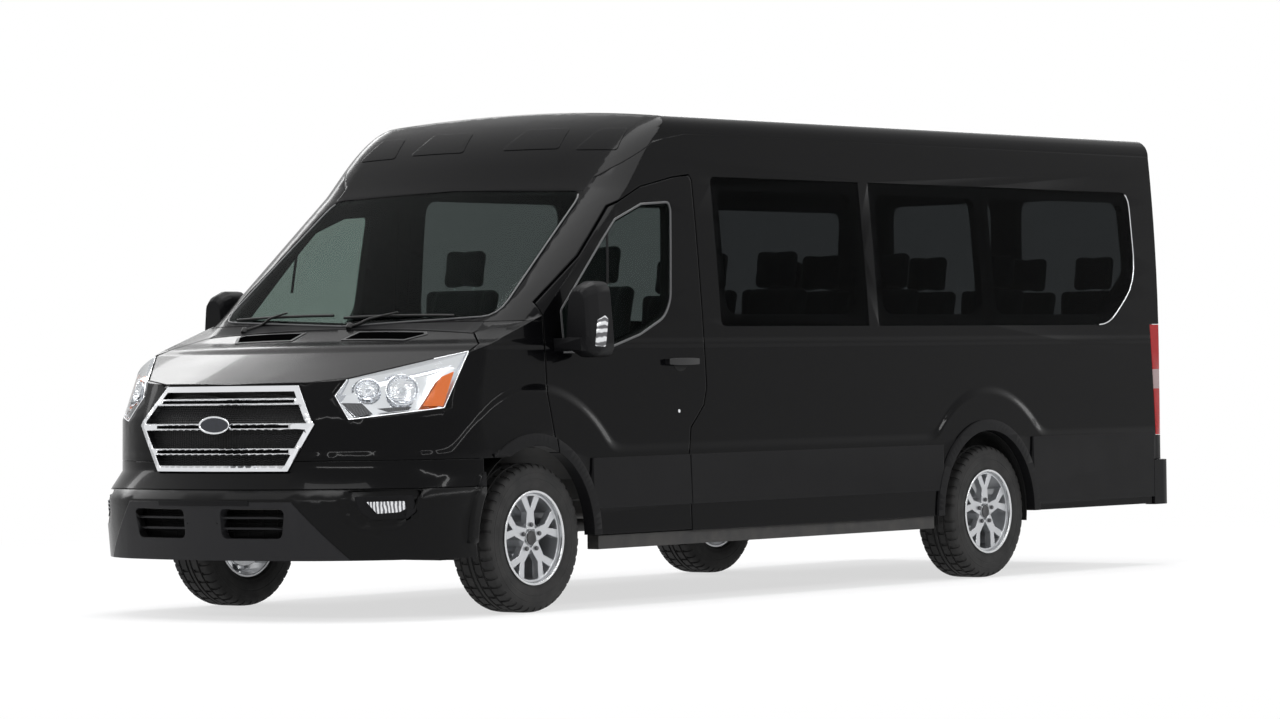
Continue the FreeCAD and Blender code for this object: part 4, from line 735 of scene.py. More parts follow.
for side, sign in SIDES:
    bowl("low_bowl_" + side, (sign * 0.698, -3.0015, 1.031), (sign * 0.5, -0.78, 0.38), 0.056, 0.84)
    bowl("high_bowl_" + side, (sign * 0.818, -2.9035, 1.026), (sign * 0.68, -0.66, 0.32), 0.071, 0.98)
both_sides("side_reflector", [(0.95, -2.6967, 1.1068), (0.9487, -2.7747, 0.9519), (0.8986, -2.8591, 0.9557),
                              (0.9141, -2.799, 1.0296), (0.9241, -2.7569, 1.0826)],
           "headlamps", (-0.8, 0.55, -0.2), -0.004, 0.006, amber, slot="lamp")
both_sides("turn_unit", [(0.6165, -3.0909, 0.975), (0.7, -3.045, 0.972), (0.75, -3.03, 0.9233),
                         (0.69, -3.08, 0.9148)],
           "headlamps", (-0.5, 0.78, -0.38), -0.008, 0.008, smoked, slot="lamp")
both_sides("turn_strip", [(0.77, -3.02, 0.952), (0.872, -2.9, 0.953), (0.862, -2.91, 0.938),
                          (0.8, -2.98, 0.93)],
           "headlamps", (-0.6, 0.7, -0.35), -0.008, 0.006, smoked, slot="lamp")

# Bumper details. Fog lamps in hexagon bezels, the blank plate's strip, and dark ducts behind the lower
# intake, which close it as the radiator's shroud does; the ducts' near-black is partly painted shade
# deep in the intake.
# The reflector's bright and dark streaks in its colour are painted reflections.
fog_clear = Recipe("fog_reflector", (0.4, 0.41, 0.42), 0.12, metal=1.0)
fog_clear.tint(fog_clear.waves(30.0, "X", 3.0), (0.12, 0.12, 0.13), (0.75, 0.76, 0.78), 0.3, 0.7)
fog_clear.ribs(0.6, 0.004, 30.0, "X", 3.0)
FOG_LAMP = [(0.7782, -3.1148, 0.5338), (0.8881, -2.9868, 0.5344), (0.891, -2.9793, 0.501),
            (0.8738, -3.0032, 0.4857), (0.8093, -3.0803, 0.4807)]
FOG_BEZEL = [(0.742, -3.15, 0.553), (0.915, -2.955, 0.556), (0.922, -2.945, 0.49), (0.895, -2.98, 0.455),
             (0.79, -3.1, 0.452), (0.752, -3.14, 0.5)]
both_sides("fog_bezel", FOG_BEZEL, "front_valance", (-0.72, 0.69, 0.05), 0.006, 0.008, satin, corner=0.008,
           edge=0.003)
both_sides("fog_lamp", FOG_LAMP, "front_valance", (-0.72, 0.69, 0.05), 0.011, 0.006, fog_clear, slot="lamp",
           corner=0.004, edge=0.0015)
patch("plate_strip", [(-0.272, -3.33, 0.5415), (0.272, -3.33, 0.5415), (0.272, -3.33, 0.519),
                      (-0.272, -3.33, 0.519)], "front_valance", (0, 1, 0), 0.0035, 0.004, satin, strips=14)


def cube(name, place, size):
    ops.object.select_all(action="DESELECT")
    ops.mesh.primitive_cube_add(size=1, location=place)
    return applied(name, size)


# Dark plates behind the intake's openings; their near-black is partly painted shade.
for side, sign in SIDES:
    duct = cube("intake_duct_" + side, (sign * 0.265, -3.218, 0.44), (0.53, 0.012, 0.22))
    edit(duct, "FACE")
    ops.mesh.subdivide(number_cuts=5)
    choose_faces(duct, faces_front)
    ops.mesh.inset(thickness=0.006, depth=-0.004, use_individual=True)
    ops.object.mode_set(mode="OBJECT")
    fix(duct, intake_shade_black, 30)

# Hood and roof pressings. Two slotted vents with dark mesh in the hood's rear, and four shallow
# raised fields on the brow of the roof.
vent_rim = Recipe("vent_rim", (0.008, 0.008, 0.009), 0.4, gloss=0.4)
vent_rim.grain(0.2, 0.0003, 600.0)
vent_black = Recipe("vent_mesh", (0.0012, 0.0012, 0.0013), 0.9, gloss=0.0)
vent_black.ribs(0.8, 0.003, 45.0, "X")
VENT_RIM = [(0.16, -2.43, 1.292), (0.555, -2.412, 1.288), (0.585, -2.445, 1.277), (0.52, -2.535, 1.248),
            (0.15, -2.55, 1.254)]
VENT_MESH = [(0.178, -2.443, 1.288), (0.548, -2.427, 1.284), (0.565, -2.447, 1.277), (0.51, -2.521, 1.253),
             (0.17, -2.536, 1.259)]
both_sides("vent_rim", VENT_RIM, "hood", (0, 0.3, -0.95), 0.0025, 0.003, vent_rim, "hood", corner=0.006)
both_sides("vent_mesh", VENT_MESH, "hood", (0, 0.3, -0.95), 0.0035, 0.003, vent_black, "hood", corner=0.004)
for index, (near, far) in enumerate(((0.12, 0.46), (0.56, 0.8))):
    brow = [(near, -1.32, 2.16), (near + 0.05, -1.17, 2.26), (far - 0.04, -1.16, 2.26), (far, -1.31, 2.16)]
    both_sides("brow_field_%d" % index, brow, "roof", (0, 0.63, -0.78), 0.0025, 0.002, black, slot="paint",
               corner=0.02, edge=0.0009)

# Mirrors. Grained black shells with a round-topped main glass over a wide-angle glass, and a clear
# turn lamp let into the outer front edge.
panel(["mirror_left", "mirror_right"], [satin])
mirror_silver = Recipe("mirror_glass", (0.78, 0.79, 0.8), 0.03, metal=1.0)
mirror_silver.wear(0.015, 0.04, 5.0)
# The lens's bright and dark streaks in its colour are painted reflections of its prisms.
lamp_clear = Recipe("turn_lamp_clear", (0.55, 0.56, 0.57), 0.12, metal=0.6, gloss=0.8)
lamp_clear.tint(lamp_clear.waves(9.0, "Z", 6.0), (0.1, 0.1, 0.105), (0.7, 0.71, 0.72), 0.3, 0.7)
lamp_clear.ribs(0.6, 0.004, 9.0, "Z", 6.0)
MAIN_GLASS = [(1.058, -1.8, 1.262), (1.182, -1.8, 1.262), (1.172, -1.8, 1.48), (1.075, -1.8, 1.48)]
WIDE_GLASS = [(1.062, -1.8, 1.185), (1.178, -1.8, 1.185), (1.182, -1.8, 1.25), (1.058, -1.8, 1.25)]
TURN_LAMP = [(1.2, -1.985, 1.212), (1.2, -1.915, 1.208), (1.2, -1.882, 1.335), (1.2, -1.905, 1.352),
             (1.2, -1.962, 1.33)]
for name, outline, corner in (("main_glass", MAIN_GLASS, 0.018), ("wide_glass", WIDE_GLASS, 0.012)):
    both_sides(name, outline, "mirror_", (0, -1, 0), 0.002, 0.003, mirror_silver, "door_", corner=corner,
               strips=4)
both_sides("turn_lamp", TURN_LAMP, "mirror_", (-1, 0.25, 0), 0.0015, 0.003, lamp_clear, "door_", slot="lamp",
           corner=0.006)

# Side fittings. Black plastic pull handles over round recesses, bright key cylinders, the dividing bars
# of the front windows and the cover of the sliding door's rail, all screwed or clipped on from outside.
handle_black = Recipe("handle_black", (0.006, 0.006, 0.0065), 0.28, gloss=0.35)
handle_black.wear(0.24, 0.36, 30.0)
handle_black.grain(0.1, 0.0003, 700.0)
recess_black = Recipe("recess_black", (0.002, 0.002, 0.0022), 0.5, gloss=0.15)
recess_black.grain(0.2, 0.0004, 300.0)
FOOT_DEPTH, BOW_DEPTH = 0.022, 0.006


def pull_handle(name, middle, length, outward, body, standing=False):
    """A bowed grip on two feet: a beam beveled round, its ends pressed back to the panel."""
    grip = cube(name, (0, 0, 0), (0.016, length, 0.034))
    edit(grip)
    ops.mesh.subdivide(number_cuts=7)
    ops.object.mode_set(mode="OBJECT")
    for vertex in grip.data.vertices:
        along = abs(vertex.co.y) / (length / 2)
        vertex.co.z *= 1.0 - 0.25 * along ** 3
        if along > 0.8 and vertex.co.x < 0:
            vertex.co.x -= FOOT_DEPTH
        vertex.co.x -= BOW_DEPTH * along ** 2
    round_off(grip, 0.004, 3)
    turn = Matrix.Rotation(math.radians(90), 4, "X") if standing else Matrix.Identity(4)
    facing = Matrix.Rotation(math.atan2(outward[1], outward[0]), 4, "Z")
    grip.data.transform(Matrix.Translation(Vector(middle) + Vector(outward) * 0.029) @ facing @ turn)
    fix(grip, handle_black, 40, body)


def oval(centre, half_y, half_z, count=20):
    return [(centre[0], centre[1] + half_y * math.cos(math.tau * i / count),
             centre[2] + half_z * math.sin(math.tau * i / count)) for i in range(count)]


for side, sign in SIDES:
    pull_handle("door_handle_" + side, (sign * 1.0, -1.089, 1.1365), 0.235, (sign, 0, 0), "door_" + side)
both_sides("handle_recess", oval((1.05, -1.09, 1.122), 0.05, 0.032), "front_door_", (-1, 0, 0), 0.001, 0.002,
           recess_black, "door_")
both_sides("key_cylinder", oval((1.05, -1.119, 0.9026), 0.0085, 0.0085, 14), "front_door_", (-1, 0, 0), 0.003,
           0.004, bright, "door_", slot="chrome", strips=1)
divider = [(1.05, axle_y + y, z) for y, z in ((0.596, 1.79), (0.614, 1.8), (0.577, 1.5), (0.559, 1.5))]
both_sides("window_divider", divider, "front_door_glass_", (-1, 0, 0), 0.0015, 0.003, satin, "door_")
pull_handle("sliding_handle", (-1.0, axle_y + 1.56, 1.1365), 0.22, (-1, 0, 0), "body")
rail_cover = [(-1.05, axle_y + 2.8, 1.19), (-1.05, axle_y + 4.5, 1.19), (-1.05, axle_y + 4.5, 1.168),
              (-1.05, axle_y + 2.8, 1.168)]
patch("sliding_rail_cover", rail_cover, "side_right", (1, 0, 0), 0.004, 0.006, satin, strips=3)

# Wipers. Two tapered arms of painted steel, capped over their bolts in the cowl, each with a jointed
# blade that lies on the foot of the glass.
wiper_black = Recipe("wiper_black", (0.006, 0.006, 0.006), 0.45, gloss=0.3)
wiper_black.grain(0.15, 0.0003, 500.0)


def cord(name, places, radius, resolution, recipe, taper=1.0, closed=False):
    """A round cord through the places, with capped ends or closed to a ring."""
    curve = bpy.data.curves.new(name, "CURVE")
    curve.dimensions = "3D"
    line = curve.splines.new("NURBS")
    line.points.add(len(places) - 1)
    for index, (point, place) in enumerate(zip(line.points, places)):
        point.co = (*place, 1)
        point.radius = 1.0 + (taper - 1.0) * index / (len(places) - 1)
    line.order_u = 3
    line.use_cyclic_u = closed
    line.use_endpoint_u = not closed
    curve.bevel_depth = radius
    curve.bevel_resolution = resolution
    curve.use_fill_caps = not closed
    curve.materials.append(recipe.material)
    piece = new_object(name, curve)
    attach(piece, "body")


def rod_on(name, ends, raised, radius, count, taper=1.0):
    """A rod laid on the windshield between two places."""
    skin = surface_tree("windshield")
    push = Vector((0, 0.4, -0.9)).normalized()
    places = [Vector(ends[0]).lerp(Vector(ends[1]), index / (count - 1)) for index in range(count)]
    for index, place in enumerate(places):
        hit, normal, _, _ = skin.ray_cast(place - push * 0.1, push, 0.2)
        if hit is not None:
            places[index] = hit - push * raised
    cord(name, places, radius, 2, wiper_black, taper=taper)


for index, (pivot, tip, inner, outer) in enumerate((
        ((-0.62, -2.352, 1.31), (-0.4, -2.29, 1.375), (-0.73, -2.28, 1.362), (-0.1, -2.31, 1.378)),
        ((0.06, -2.38, 1.32), (0.3, -2.31, 1.37), (-0.02, -2.325, 1.362), (0.62, -2.3, 1.372)))):
    rod_on("wiper_arm_%d" % index, (pivot, tip), 0.022, 0.008, 6, taper=0.55)
    rod_on("wiper_blade_%d" % index, (inner, outer), 0.007, 0.0065, 10)
    nut = cylinder("wiper_cap_%d" % index, 24, 0.017, 0.03, pivot, math.radians(-38))
    round_off(nut, 0.007, 3)
    fix(nut, wiper_black, 40)

# Rear end. Moulded tail lamps, red above and below a clearer band, black hinges bolted to the rear
# pillars, the grip of the left door and a dark strip that closes the gap under both doors.
tail_red = Recipe("tail_lens", (0.3, 0.004, 0.005), 0.12, gloss=0.2)
level = tail_red.axes()[2]
above, below = tail_red.span(level, 0.955, 0.96), tail_red.span(level, 1.06, 1.065, 1.0, 0.0)
middle_band = tail_red.sum("MULTIPLY", above, below)
tail_red.tint(middle_band, (0.3, 0.004, 0.005), (0.3, 0.22, 0.22), 0.4, 0.6)
tail_red.ribs(0.25, 0.003, 38.0, "Z")
tail_red.wear(0.08, 0.16, 30.0)
tail_red.round_edges(0.006)
panel(["tail_lamps"], [tail_red])


def moulded_block(name, place, size, width, segments, recipe, body="body"):
    """A block with rounded edges."""
    block = cube(name, place, size)
    round_off(block, width, segments)
    fix(block, recipe, 40, body)


HINGE_HEIGHTS = (0.65, 1.36, 1.9)
for side, sign in SIDES:
    for index, height in enumerate(HINGE_HEIGHTS):
        moulded_block("rear_hinge_%s_%d" % (side, index), (sign * 0.885, axle_y + 5.49, height),
                      (0.05, 0.03, 0.085), 0.011, 3, handle_black)
pull_handle("rear_handle", (0.075, axle_y + 5.487, 1.0), 0.2, (0, 1, 0), "rear_door_left", True)
moulded_block("rear_apron", (0, axle_y + 5.422, 0.57), (1.74, 0.008, 0.055), 0.002, 2, recess_black)

# Dashboard and steering wheel. Grained dark grey plastic, moulded and screwed to the bulkhead, and a
# wheel of the same colour on its column.
lining = Recipe("lining", (0.03, 0.03, 0.032), 0.7)
lining.tint(lining.noise(4.0), (0.026, 0.026, 0.028), (0.036, 0.036, 0.038))
lining.grain(0.3, 0.0004, 700.0)
panel(["dashboard", "steering_wheel"], [lining])


# Dashboard fittings and door cards. Moulded plastic clipped to the dashboard's face and to the inner
# sides of the doors: instrument glass, blank screen, air vents, glove box lid, cards, rests and pockets.
def wall_field(low_x, high_x, low_z, high_z, y):
    return [(low_x, y, low_z), (high_x, y, low_z), (high_x, y, high_z), (low_x, y, high_z)]


screen_black = Recipe("screen_black", (0.006, 0.006, 0.007), 0.15)
screen_black.wear(0.1, 0.2, 40.0)
vent_slats = Recipe("vent_slats", (0.008, 0.008, 0.0085), 0.5)
vent_slats.ribs(0.9, 0.004, 26.0, "Z")
for name, low_x, high_x, low_z, high_z, recipe in (
        ("instrument_glass", 0.29, 0.55, 1.2, 1.262, screen_black),
        ("centre_screen", -0.13, 0.13, 1.12, 1.245, screen_black),
        ("switch_panel", -0.12, 0.12, 0.96, 1.085, handle_black),
        ("glove_box_lid", -0.72, -0.3, 0.94, 1.1, lining),
        ("air_vent_left", 0.7, 0.84, 1.13, 1.215, vent_slats),
        ("air_vent_middle_left", 0.16, 0.26, 1.13, 1.235, vent_slats),
        ("air_vent_middle_right", -0.26, -0.16, 1.13, 1.235, vent_slats),
        ("air_vent_right", -0.84, -0.7, 1.13, 1.215, vent_slats)):
    patch(name, wall_field(low_x, high_x, low_z, high_z, -1.75), "dashboard", (0, -1, 0), 0.004, 0.007,
          recipe, corner=0.018, edge=0.002)
card_edge = [(-1.06, 0.665), (-1.06, 1.12), (-1.97, 1.12), (-1.97, 0.8), (-1.9, 0.74), (-1.8, 0.665)]
both_sides("door_card", [(0.96, y, z) for y, z in card_edge], "front_door_", (1, 0, 0), 0.003, 0.005,
           lining, "door_", corner=0.03, edge=0.0015)
handle_edge = [(-1.8, 1.035), (-1.7, 1.035), (-1.7, 1.062), (-1.8, 1.062)]
both_sides("inner_handle", [(0.95, y, z) for y, z in handle_edge], "front_door_", (1, 0, 0), 0.012, 0.009,
           silver, "door_", corner=0.01, edge=0.002)
both_sides("rear_door_card", wall_field(0.07, 0.79, 0.68, 1.22, 3.24), "rear_door_", (0, 1, 0), 0.003, 0.005,
           lining, "rear_door_", corner=0.04, edge=0.0015)
patch("high_lamp", wall_field(-0.15, 0.15, 2.225, 2.25, 3.35), "roof", (0, -1, 0), 0.003, 0.006,
      tail_red, corner=0.008, edge=0.001)
for side, sign in SIDES:
    moulded_block("door_rest_" + side, (sign * 0.94, -1.4, 0.96), (0.05, 0.42, 0.05), 0.014, 3, lining,
                  "door_" + side)
    moulded_block("door_pocket_" + side, (sign * 0.95, -1.42, 0.75), (0.045, 0.56, 0.11), 0.014, 3, lining,
                  "door_" + side)

# Running gear and floor. Pressed and welded steel under worn black paint, with the engine as one bare
# block hung between the carrier and the subframe.
steel = Recipe("chassis_paint", (0.012, 0.012, 0.012), 0.6)
steel.tint(steel.noise(12.0), (0.006, 0.006, 0.006), (0.02, 0.018, 0.016))
steel.grain(0.2, 0.0006, 200.0)
panel(["floor", "bulkhead", "front_carrier", "front_subframe", "knuckle_left", "knuckle_right", "rear_axle",
       "engine", "underbody"], [steel])

# Tyres. Black rubber lathed round the hub: bulged walls with two fine rings, a rounded shoulder and
# a tread of four ribs. The shoulders' cross grooves are pressed in block by block.
TYRE_HALF = [(0.2055, 0.096), (0.2155, 0.1065), (0.229, 0.1095), (0.236, 0.1145), (0.262, 0.1165),
             (0.264, 0.1155), (0.268, 0.1155), (0.27, 0.1168), (0.294, 0.1162), (0.296, 0.1148),
             (0.3, 0.1148), (0.302, 0.115), (0.317, 0.1118), (0.3275, 0.107), (0.3345, 0.099), (0.339, 0.086),
             (0.341, 0.064), (0.3345, 0.062), (0.3345, 0.054), (0.3414, 0.052), (0.3416, 0.019),
             (0.3348, 0.017), (0.3348, 0.0085), (0.3416, 0.0065)]
TREAD_STEPS = 132
GROOVE_DEPTH = 0.006
SHOULDER_RADIUS, RIB_RADIUS = 0.3175, 0.341
tread_rubber = Recipe("tyre_rubber", (0.012, 0.012, 0.0125), 0.75, gloss=0.35)
tread_rubber.wear(0.62, 0.85, 25.0)
tread_rubber.tint(tread_rubber.noise(9.0), (0.009, 0.009, 0.009), (0.019, 0.0185, 0.018))
tread_rubber.grain(0.2, 0.0004, 500.0, 2.0)


def lathe(name, outline, steps, centre):
    """A closed ring round an axis across the vehicle. outline: radius and offset along the axis."""
    places = [(centre[0] + along, centre[1], centre[2] + radius) for radius, along in outline]
    piece = outline_piece(name, places)
    spin_round(piece, centre, (1, 0, 0), math.tau, steps)
    return piece


wheel_places = {}
for end in ("front", "rear"):
    for side in ("left", "right"):
        low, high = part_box("tyre_%s_%s" % (end, side))
        wheel_places[(end, side)] = tuple((a + b) / 2 for a, b in zip(low, high))


def grooved(face, centre):
    """Every third block of the shoulders and every fourth of the ribs carries a cross groove."""
    middle = face.calc_center_median()
    along = abs(middle.x - centre[0])
    radius = math.hypot(middle.y - centre[1], middle.z - centre[2])
    turn = int(math.atan2(middle.z - centre[2], middle.y - centre[1]) / math.tau * TREAD_STEPS)
    shoulder_groove = radius > SHOULDER_RADIUS and along > 0.066 and turn % 3 == 0
    rib_groove = radius > RIB_RADIUS and 0.02 < along < 0.051 and turn % 4 == 1
    return shoulder_groove or rib_groove


tyre_outline = TYRE_HALF + [(radius, -along) for radius, along in reversed(TYRE_HALF)]
for (end, side), centre in wheel_places.items():
    tyre = lathe("tyre_visual_%s_%s" % (end, side), tyre_outline, TREAD_STEPS, centre)
    edit(tyre, "FACE")
    choose_faces(tyre, lambda face: grooved(face, centre))
    ops.mesh.inset(thickness=0.0006, depth=0, use_boundary=True, use_even_offset=False)
    ops.object.mode_set(mode="OBJECT")
    for vertex in tyre.data.vertices:
        if vertex.select:
            outward = Vector((0, vertex.co.y - centre[1], vertex.co.z - centre[2])).normalized()
            vertex.co -= outward * GROOVE_DEPTH
    fix(tyre, tread_rubber, 32, "wheel_%s_%s" % (end, side))
    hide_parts("tyre_%s_%s" % (end, side))

# Alloy rims. Five forked spokes in satin silver, cast in one with the barrel, whose turned lip
# stands over the tyre's bead. Five nuts and a plain dark cap sit on each.
alloy = Recipe("alloy_silver", (0.5, 0.51, 0.525), 0.3, metal=0.85)
alloy.wear(0.26, 0.36, 30.0)
alloy.round_edges(0.007)
alloy.grain(0.05, 0.0004, 220.0, 2.0)
turned_lip = Recipe("turned_lip", (0.58, 0.59, 0.6), 0.22, metal=0.9)
turned_lip.grain(0.04, 0.0003, 300.0, 1.0)
nut_steel = Recipe("nut_steel", (0.1, 0.1, 0.105), 0.35, metal=0.9)
nut_steel.wear(0.28, 0.45, 90.0)
cap_dark = Recipe("cap_dark", (0.012, 0.012, 0.014), 0.25, gloss=0.5)
cap_dark.wear(0.18, 0.3, 60.0)
LIP_OUTLINE = [(0.2035, 0.096), (0.2035, 0.109), (0.2055, 0.1135), (0.2095, 0.1158), (0.2145, 0.1155),
               (0.2175, 0.1128), (0.2175, 0.109), (0.2055, 0.1), (0.2052, 0.096)]
CAP_OUTLINE = [(0.0, 0.004), (0.022, 0.004), (0.024, 0.0055), (0.03, 0.0055), (0.033, 0.003),
               (0.0335, -0.006), (0.0, -0.006)]
NUTS, NUT_CIRCLE = 5, 0.06
NUT_OUTLINE = [(0.0, 0.012), (0.0065, 0.012), (0.0095, 0.0105), (0.0105, 0.008), (0.0105, -0.002),
               (0.0, -0.002)]
for (end, side), centre in wheel_places.items():
    outward = 1 if side == "left" else -1
    panel(["rim_%s_%s" % (end, side)], [alloy], sharp_angle=25)
    body = "wheel_%s_%s" % (end, side)
    lip_outline = [(radius, outward * along) for radius, along in LIP_OUTLINE]
    lip = lathe("rim_lip_%s_%s" % (end, side), lip_outline, 96, centre)
    fix(lip, turned_lip, 50, body)
    hub_face = centre[0] + outward * 0.09
    cap_outline = [(radius, outward * along) for radius, along in CAP_OUTLINE]
    cap = lathe("cap_face_%s_%s" % (end, side), cap_outline, 48, (hub_face, centre[1], centre[2]))
    fix(cap, cap_dark, 40, body)
    nut_outline = [(radius, outward * along) for radius, along in NUT_OUTLINE]
    for index in range(NUTS):
        turn = math.tau * index / NUTS
        place = (hub_face, centre[1] + NUT_CIRCLE * math.sin(turn), centre[2] + NUT_CIRCLE * math.cos(turn))
        nut = lathe("nut_%s_%s_%d" % (end, side, index), nut_outline, 6, place)
        fix(nut, nut_steel, 30, body)

# Wheel arch liners. Thin ribbed plastic shells inside the arches: round the whole rear arch, and ahead
# of the front wheels, which need the rest of their arch to steer.
liner_plastic = Recipe("arch_liner", (0.004, 0.004, 0.004), 0.7, gloss=0.2)
liner_plastic.ribs(0.4, 0.004, 22.0, "X")
LINER_RADIUS, LINER_THICKNESS = 0.4145, 0.003
LINER_TURNS = (("front", arch_centres[0], 84, 188), ("rear", arch_centres[1], -8, 188))
for end, arch_y, first, last in LINER_TURNS:
    first, last = math.radians(first), math.radians(last)
    for side, sign in SIDES:
        line = [(sign * x, arch_y + LINER_RADIUS * math.cos(first),
                 hub_height + LINER_RADIUS * math.sin(first)) for x in (0.72, 0.81, 0.9, 0.985)]
        liner = outline_piece("arch_liner_%s_%s" % (end, side), line, False)
        spin_round(liner, (0, arch_y, hub_height), (1, 0, 0), first - last, 40)
        thicken(liner, LINER_THICKNESS, 0)
        fix(liner, liner_plastic, 40)

# Splash shield. A dark plastic tray under the engine bay, screwed up between the valance and the
# front subframe, and cut back where the steered wheels swing.
half_edge = [(0.71, -3.1, 0.295), (0.71, -2.62, 0.295), (0.52, -2.58, 0.295), (0.52, -2.32, 0.295)]
shield = outline_piece("splash_shield", half_edge + mirrored(reversed(half_edge), -1))
edit(shield)
ops.mesh.edge_face_add()
ops.mesh.normals_make_consistent(inside=False)
ops.object.mode_set(mode="OBJECT")
thicken(shield, 0.004, 0)
fix(shield, liner_plastic, 40)

# Seats. Foam cushions in grey woven cloth, blown up by a cloth simulation from sewn forms: a seat pad,
# a back pad and a head pad, made once and copied to two cab seats and four rows of three.
seat_cloth = Recipe("seat_cloth", (0.028, 0.029, 0.032), 0.85, gloss=0.2)
seat_cloth.tint(seat_cloth.noise(6.0), (0.02, 0.021, 0.024), (0.036, 0.037, 0.041))
seat_cloth.ribs(0.35, 0.0006, 260.0, "X", 0.4)
seat_cloth.ribs(0.35, 0.0006, 260.0, "Z", 0.4)
seat_cloth.shader.inputs["Sheen Weight"].default_value = 0.25
seat_piping = Recipe("seat_piping", (0.02, 0.02, 0.022), 0.6)
seat_piping.grain(0.2, 0.0003, 900.0)
seat_plastic = Recipe("seat_plastic", (0.018, 0.018, 0.019), 0.55)
seat_plastic.grain(0.2, 0.0003, 800.0)
SEAM_WIDTH, SEAM_DEPTH = 0.009, 0.014


def sewn_form(name, width, length, depth, voxel, seam_x, seam_y):
    """A soft block with sunk seams: two lengthwise and one across, set apart in metres."""
    pad = cube(name, (0, 0, 0), (width - 0.026, length - 0.026, depth - 0.026))
    round_off(pad, min(depth * 0.3, 0.032), 4)
    grid = pad.modifiers.new("even_grid", "REMESH")
    grid.mode = "VOXEL"
    grid.voxel_size = voxel
    ops.object.modifier_apply(modifier="even_grid")
    for vertex in pad.data.vertices:
        across, along, height = vertex.co
        if height > 0:
            sunk = math.exp(-((abs(across) - seam_x) / SEAM_WIDTH) ** 2) if seam_x else 0.0
            if seam_y is not None and abs(across) < (seam_x or width):
                sunk = max(sunk, math.exp(-((along - seam_y) / SEAM_WIDTH) ** 2))
            vertex.co.z -= SEAM_DEPTH * sunk
    return pad


def blow_up(pad, pressure, cap):
    """Cloth under pressure without gravity; no point moves further than the cap."""
    scene = bpy.context.scene
    cloth = pad.modifiers.new("cloth", "CLOTH")
    cloth.settings.use_pressure = True
    cloth.settings.uniform_pressure_force = pressure
    cloth.settings.effector_weights.gravity = 0
    cloth.settings.quality = 4
    cloth.point_cache.frame_start = 1
    cloth.point_cache.frame_end = 20
    for step in range(1, 21):
        scene.frame_set(step)
    soft = pad.evaluated_get(bpy.context.evaluated_depsgraph_get())
    ends = [vertex.co.copy() for vertex in soft.data.vertices]
    pad.modifiers.remove(cloth)
    scene.frame_set(1)
    for vertex, end in zip(pad.data.vertices, ends):
        move = end - vertex.co
        if move.length > cap:
            move *= cap / move.length
        vertex.co += move


FORM_WIDTH = 0.5
CUSHION_TOP, CUSHION_MIDDLE = 0.9703, 0.235
BACK_LEAN, BACK_OVERLAP = 0.22, 0.11
PAD_FORMS = {
    "cushion": sewn_form("seat_form_cushion", FORM_WIDTH, 0.47, 0.12, 0.012, 0.165, 0.0),
    "back": sewn_form("seat_form_back", 0.48, 0.68, 0.1, 0.012, 0.155, 0.09),
    "rest": sewn_form("seat_form_rest", 0.26, 0.21, 0.09, 0.009, 0.0, None),
}
for form in PAD_FORMS.values():
    blow_up(form, pressure=4.0, cap=0.018)
    edit(form)
    ops.mesh.vertices_smooth(factor=0.5, repeat=2)
    ops.object.mode_set(mode="OBJECT")


def lay_pad(kind, name, narrow, place, tilt):
    """A copy of a form: narrowed, tipped about the seat's width and moved to its place."""
    piece = new_object(name, PAD_FORMS[kind].data.copy())
    piece.data.name = name
    piece.data.transform(Matrix.Translation(place) @ Matrix.Rotation(tilt, 4, "X")
                         @ Matrix.Diagonal((narrow, 1, 1, 1)))
    piece.data.materials.clear()
    piece.data.materials.append(seat_cloth.material)
    for face in piece.data.polygons:
        face.use_smooth = True
    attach(piece, "body")


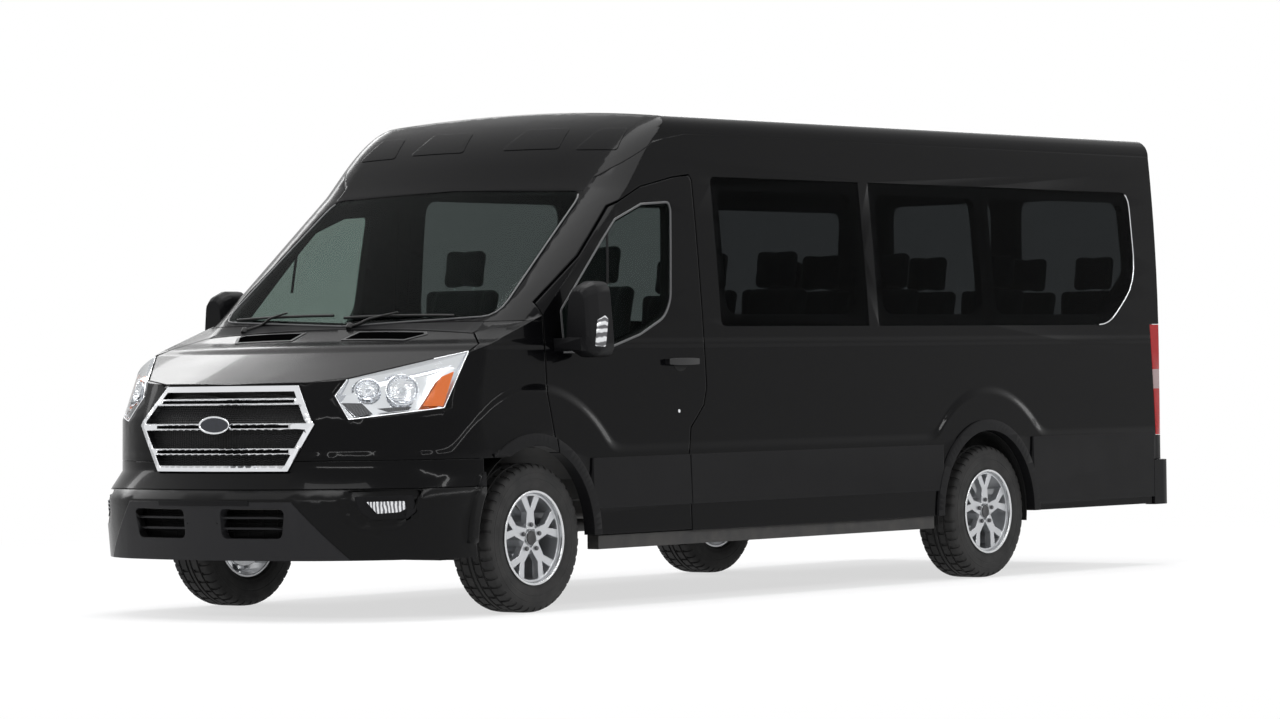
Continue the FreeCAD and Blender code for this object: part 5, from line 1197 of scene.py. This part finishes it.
def dress_seat(name, middle, front, width, back_top):
    """The pads, the sewn rim and the head pad's posts of one seat, over its plinth."""
    narrow = width / FORM_WIDTH
    y = front + axle_y
    top = CUSHION_TOP
    lay_pad("cushion", name + "_cushion", narrow, (middle, y + CUSHION_MIDDLE, top - 0.058), math.radians(2))
    lean_run = (back_top - top) * BACK_LEAN
    tilt = math.atan2(lean_run, back_top - top + BACK_OVERLAP)
    back_middle = (middle, y + 0.425 + lean_run / 2 - 0.01, (top - 0.1 + back_top) / 2 + 0.012)
    lay_pad("back", name + "_back", narrow, back_middle, math.radians(90) - tilt)
    rest_y = y + 0.37 + lean_run + BACK_OVERLAP * 0.55
    lay_pad("rest", name + "_head_pad", 1.0, (middle, rest_y, back_top + 0.108), math.radians(90) - tilt)
    half = width / 2 - 0.004
    rim = ((-1, -0.8), (-0.85, -1), (0.85, -1), (1, -0.8), (1, 0.8), (0.85, 1), (-0.85, 1), (-1, 0.8))
    places = [(middle + a * half, y + CUSHION_MIDDLE + b * 0.228, top - 0.052 - b * 0.008) for a, b in rim]
    cord(name + "_piping", places, 0.0035, 1, seat_piping, closed=True)
    for index, offset in enumerate((-0.06, 0.06)):
        place = (middle + offset, rest_y - 0.006, back_top + 0.012)
        post = cylinder("%s_post_%d" % (name, index), 16, 0.006, 0.075, place, -tilt)
        fix(post, bright, 50)


PLINTH_TOP = 0.862
for name in ("front_seats", "rear_seats"):
    base = merged_copy(name, "_plinths")
    shape = bmesh.new()
    shape.from_mesh(base.data)
    cut = bmesh.ops.bisect_plane(shape, geom=shape.verts[:] + shape.edges[:] + shape.faces[:],
                                 plane_co=(0, 0, PLINTH_TOP), plane_no=(0, 0, 1), clear_outer=True)
    rim = [piece for piece in cut["geom_cut"] if isinstance(piece, bmesh.types.BMEdge)]
    bmesh.ops.holes_fill(shape, edges=rim, sides=0)
    shape.to_mesh(base.data)
    shape.free()
    base.data.materials.append(seat_plastic.material)
    smooth(base, 30)
    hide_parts(name)
    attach(base, "body")
dress_seat("cab_seat_left", 0.42, 0.68, 0.5, 1.5)
dress_seat("cab_seat_right", -0.42, 0.68, 0.5, 1.5)
for row in range(4):
    row_front = 1.75 + row * (4.7 - 1.75) / 3
    for label, share in (("window_left", 0.69), ("aisle_left", 0.27), ("window_right", -0.66)):
        dress_seat("row_%d_%s" % (row + 1, label), share * 1.02, row_front, 0.43, 1.48)
for form in PAD_FORMS.values():
    bpy.data.objects.remove(form, do_unlink=True)
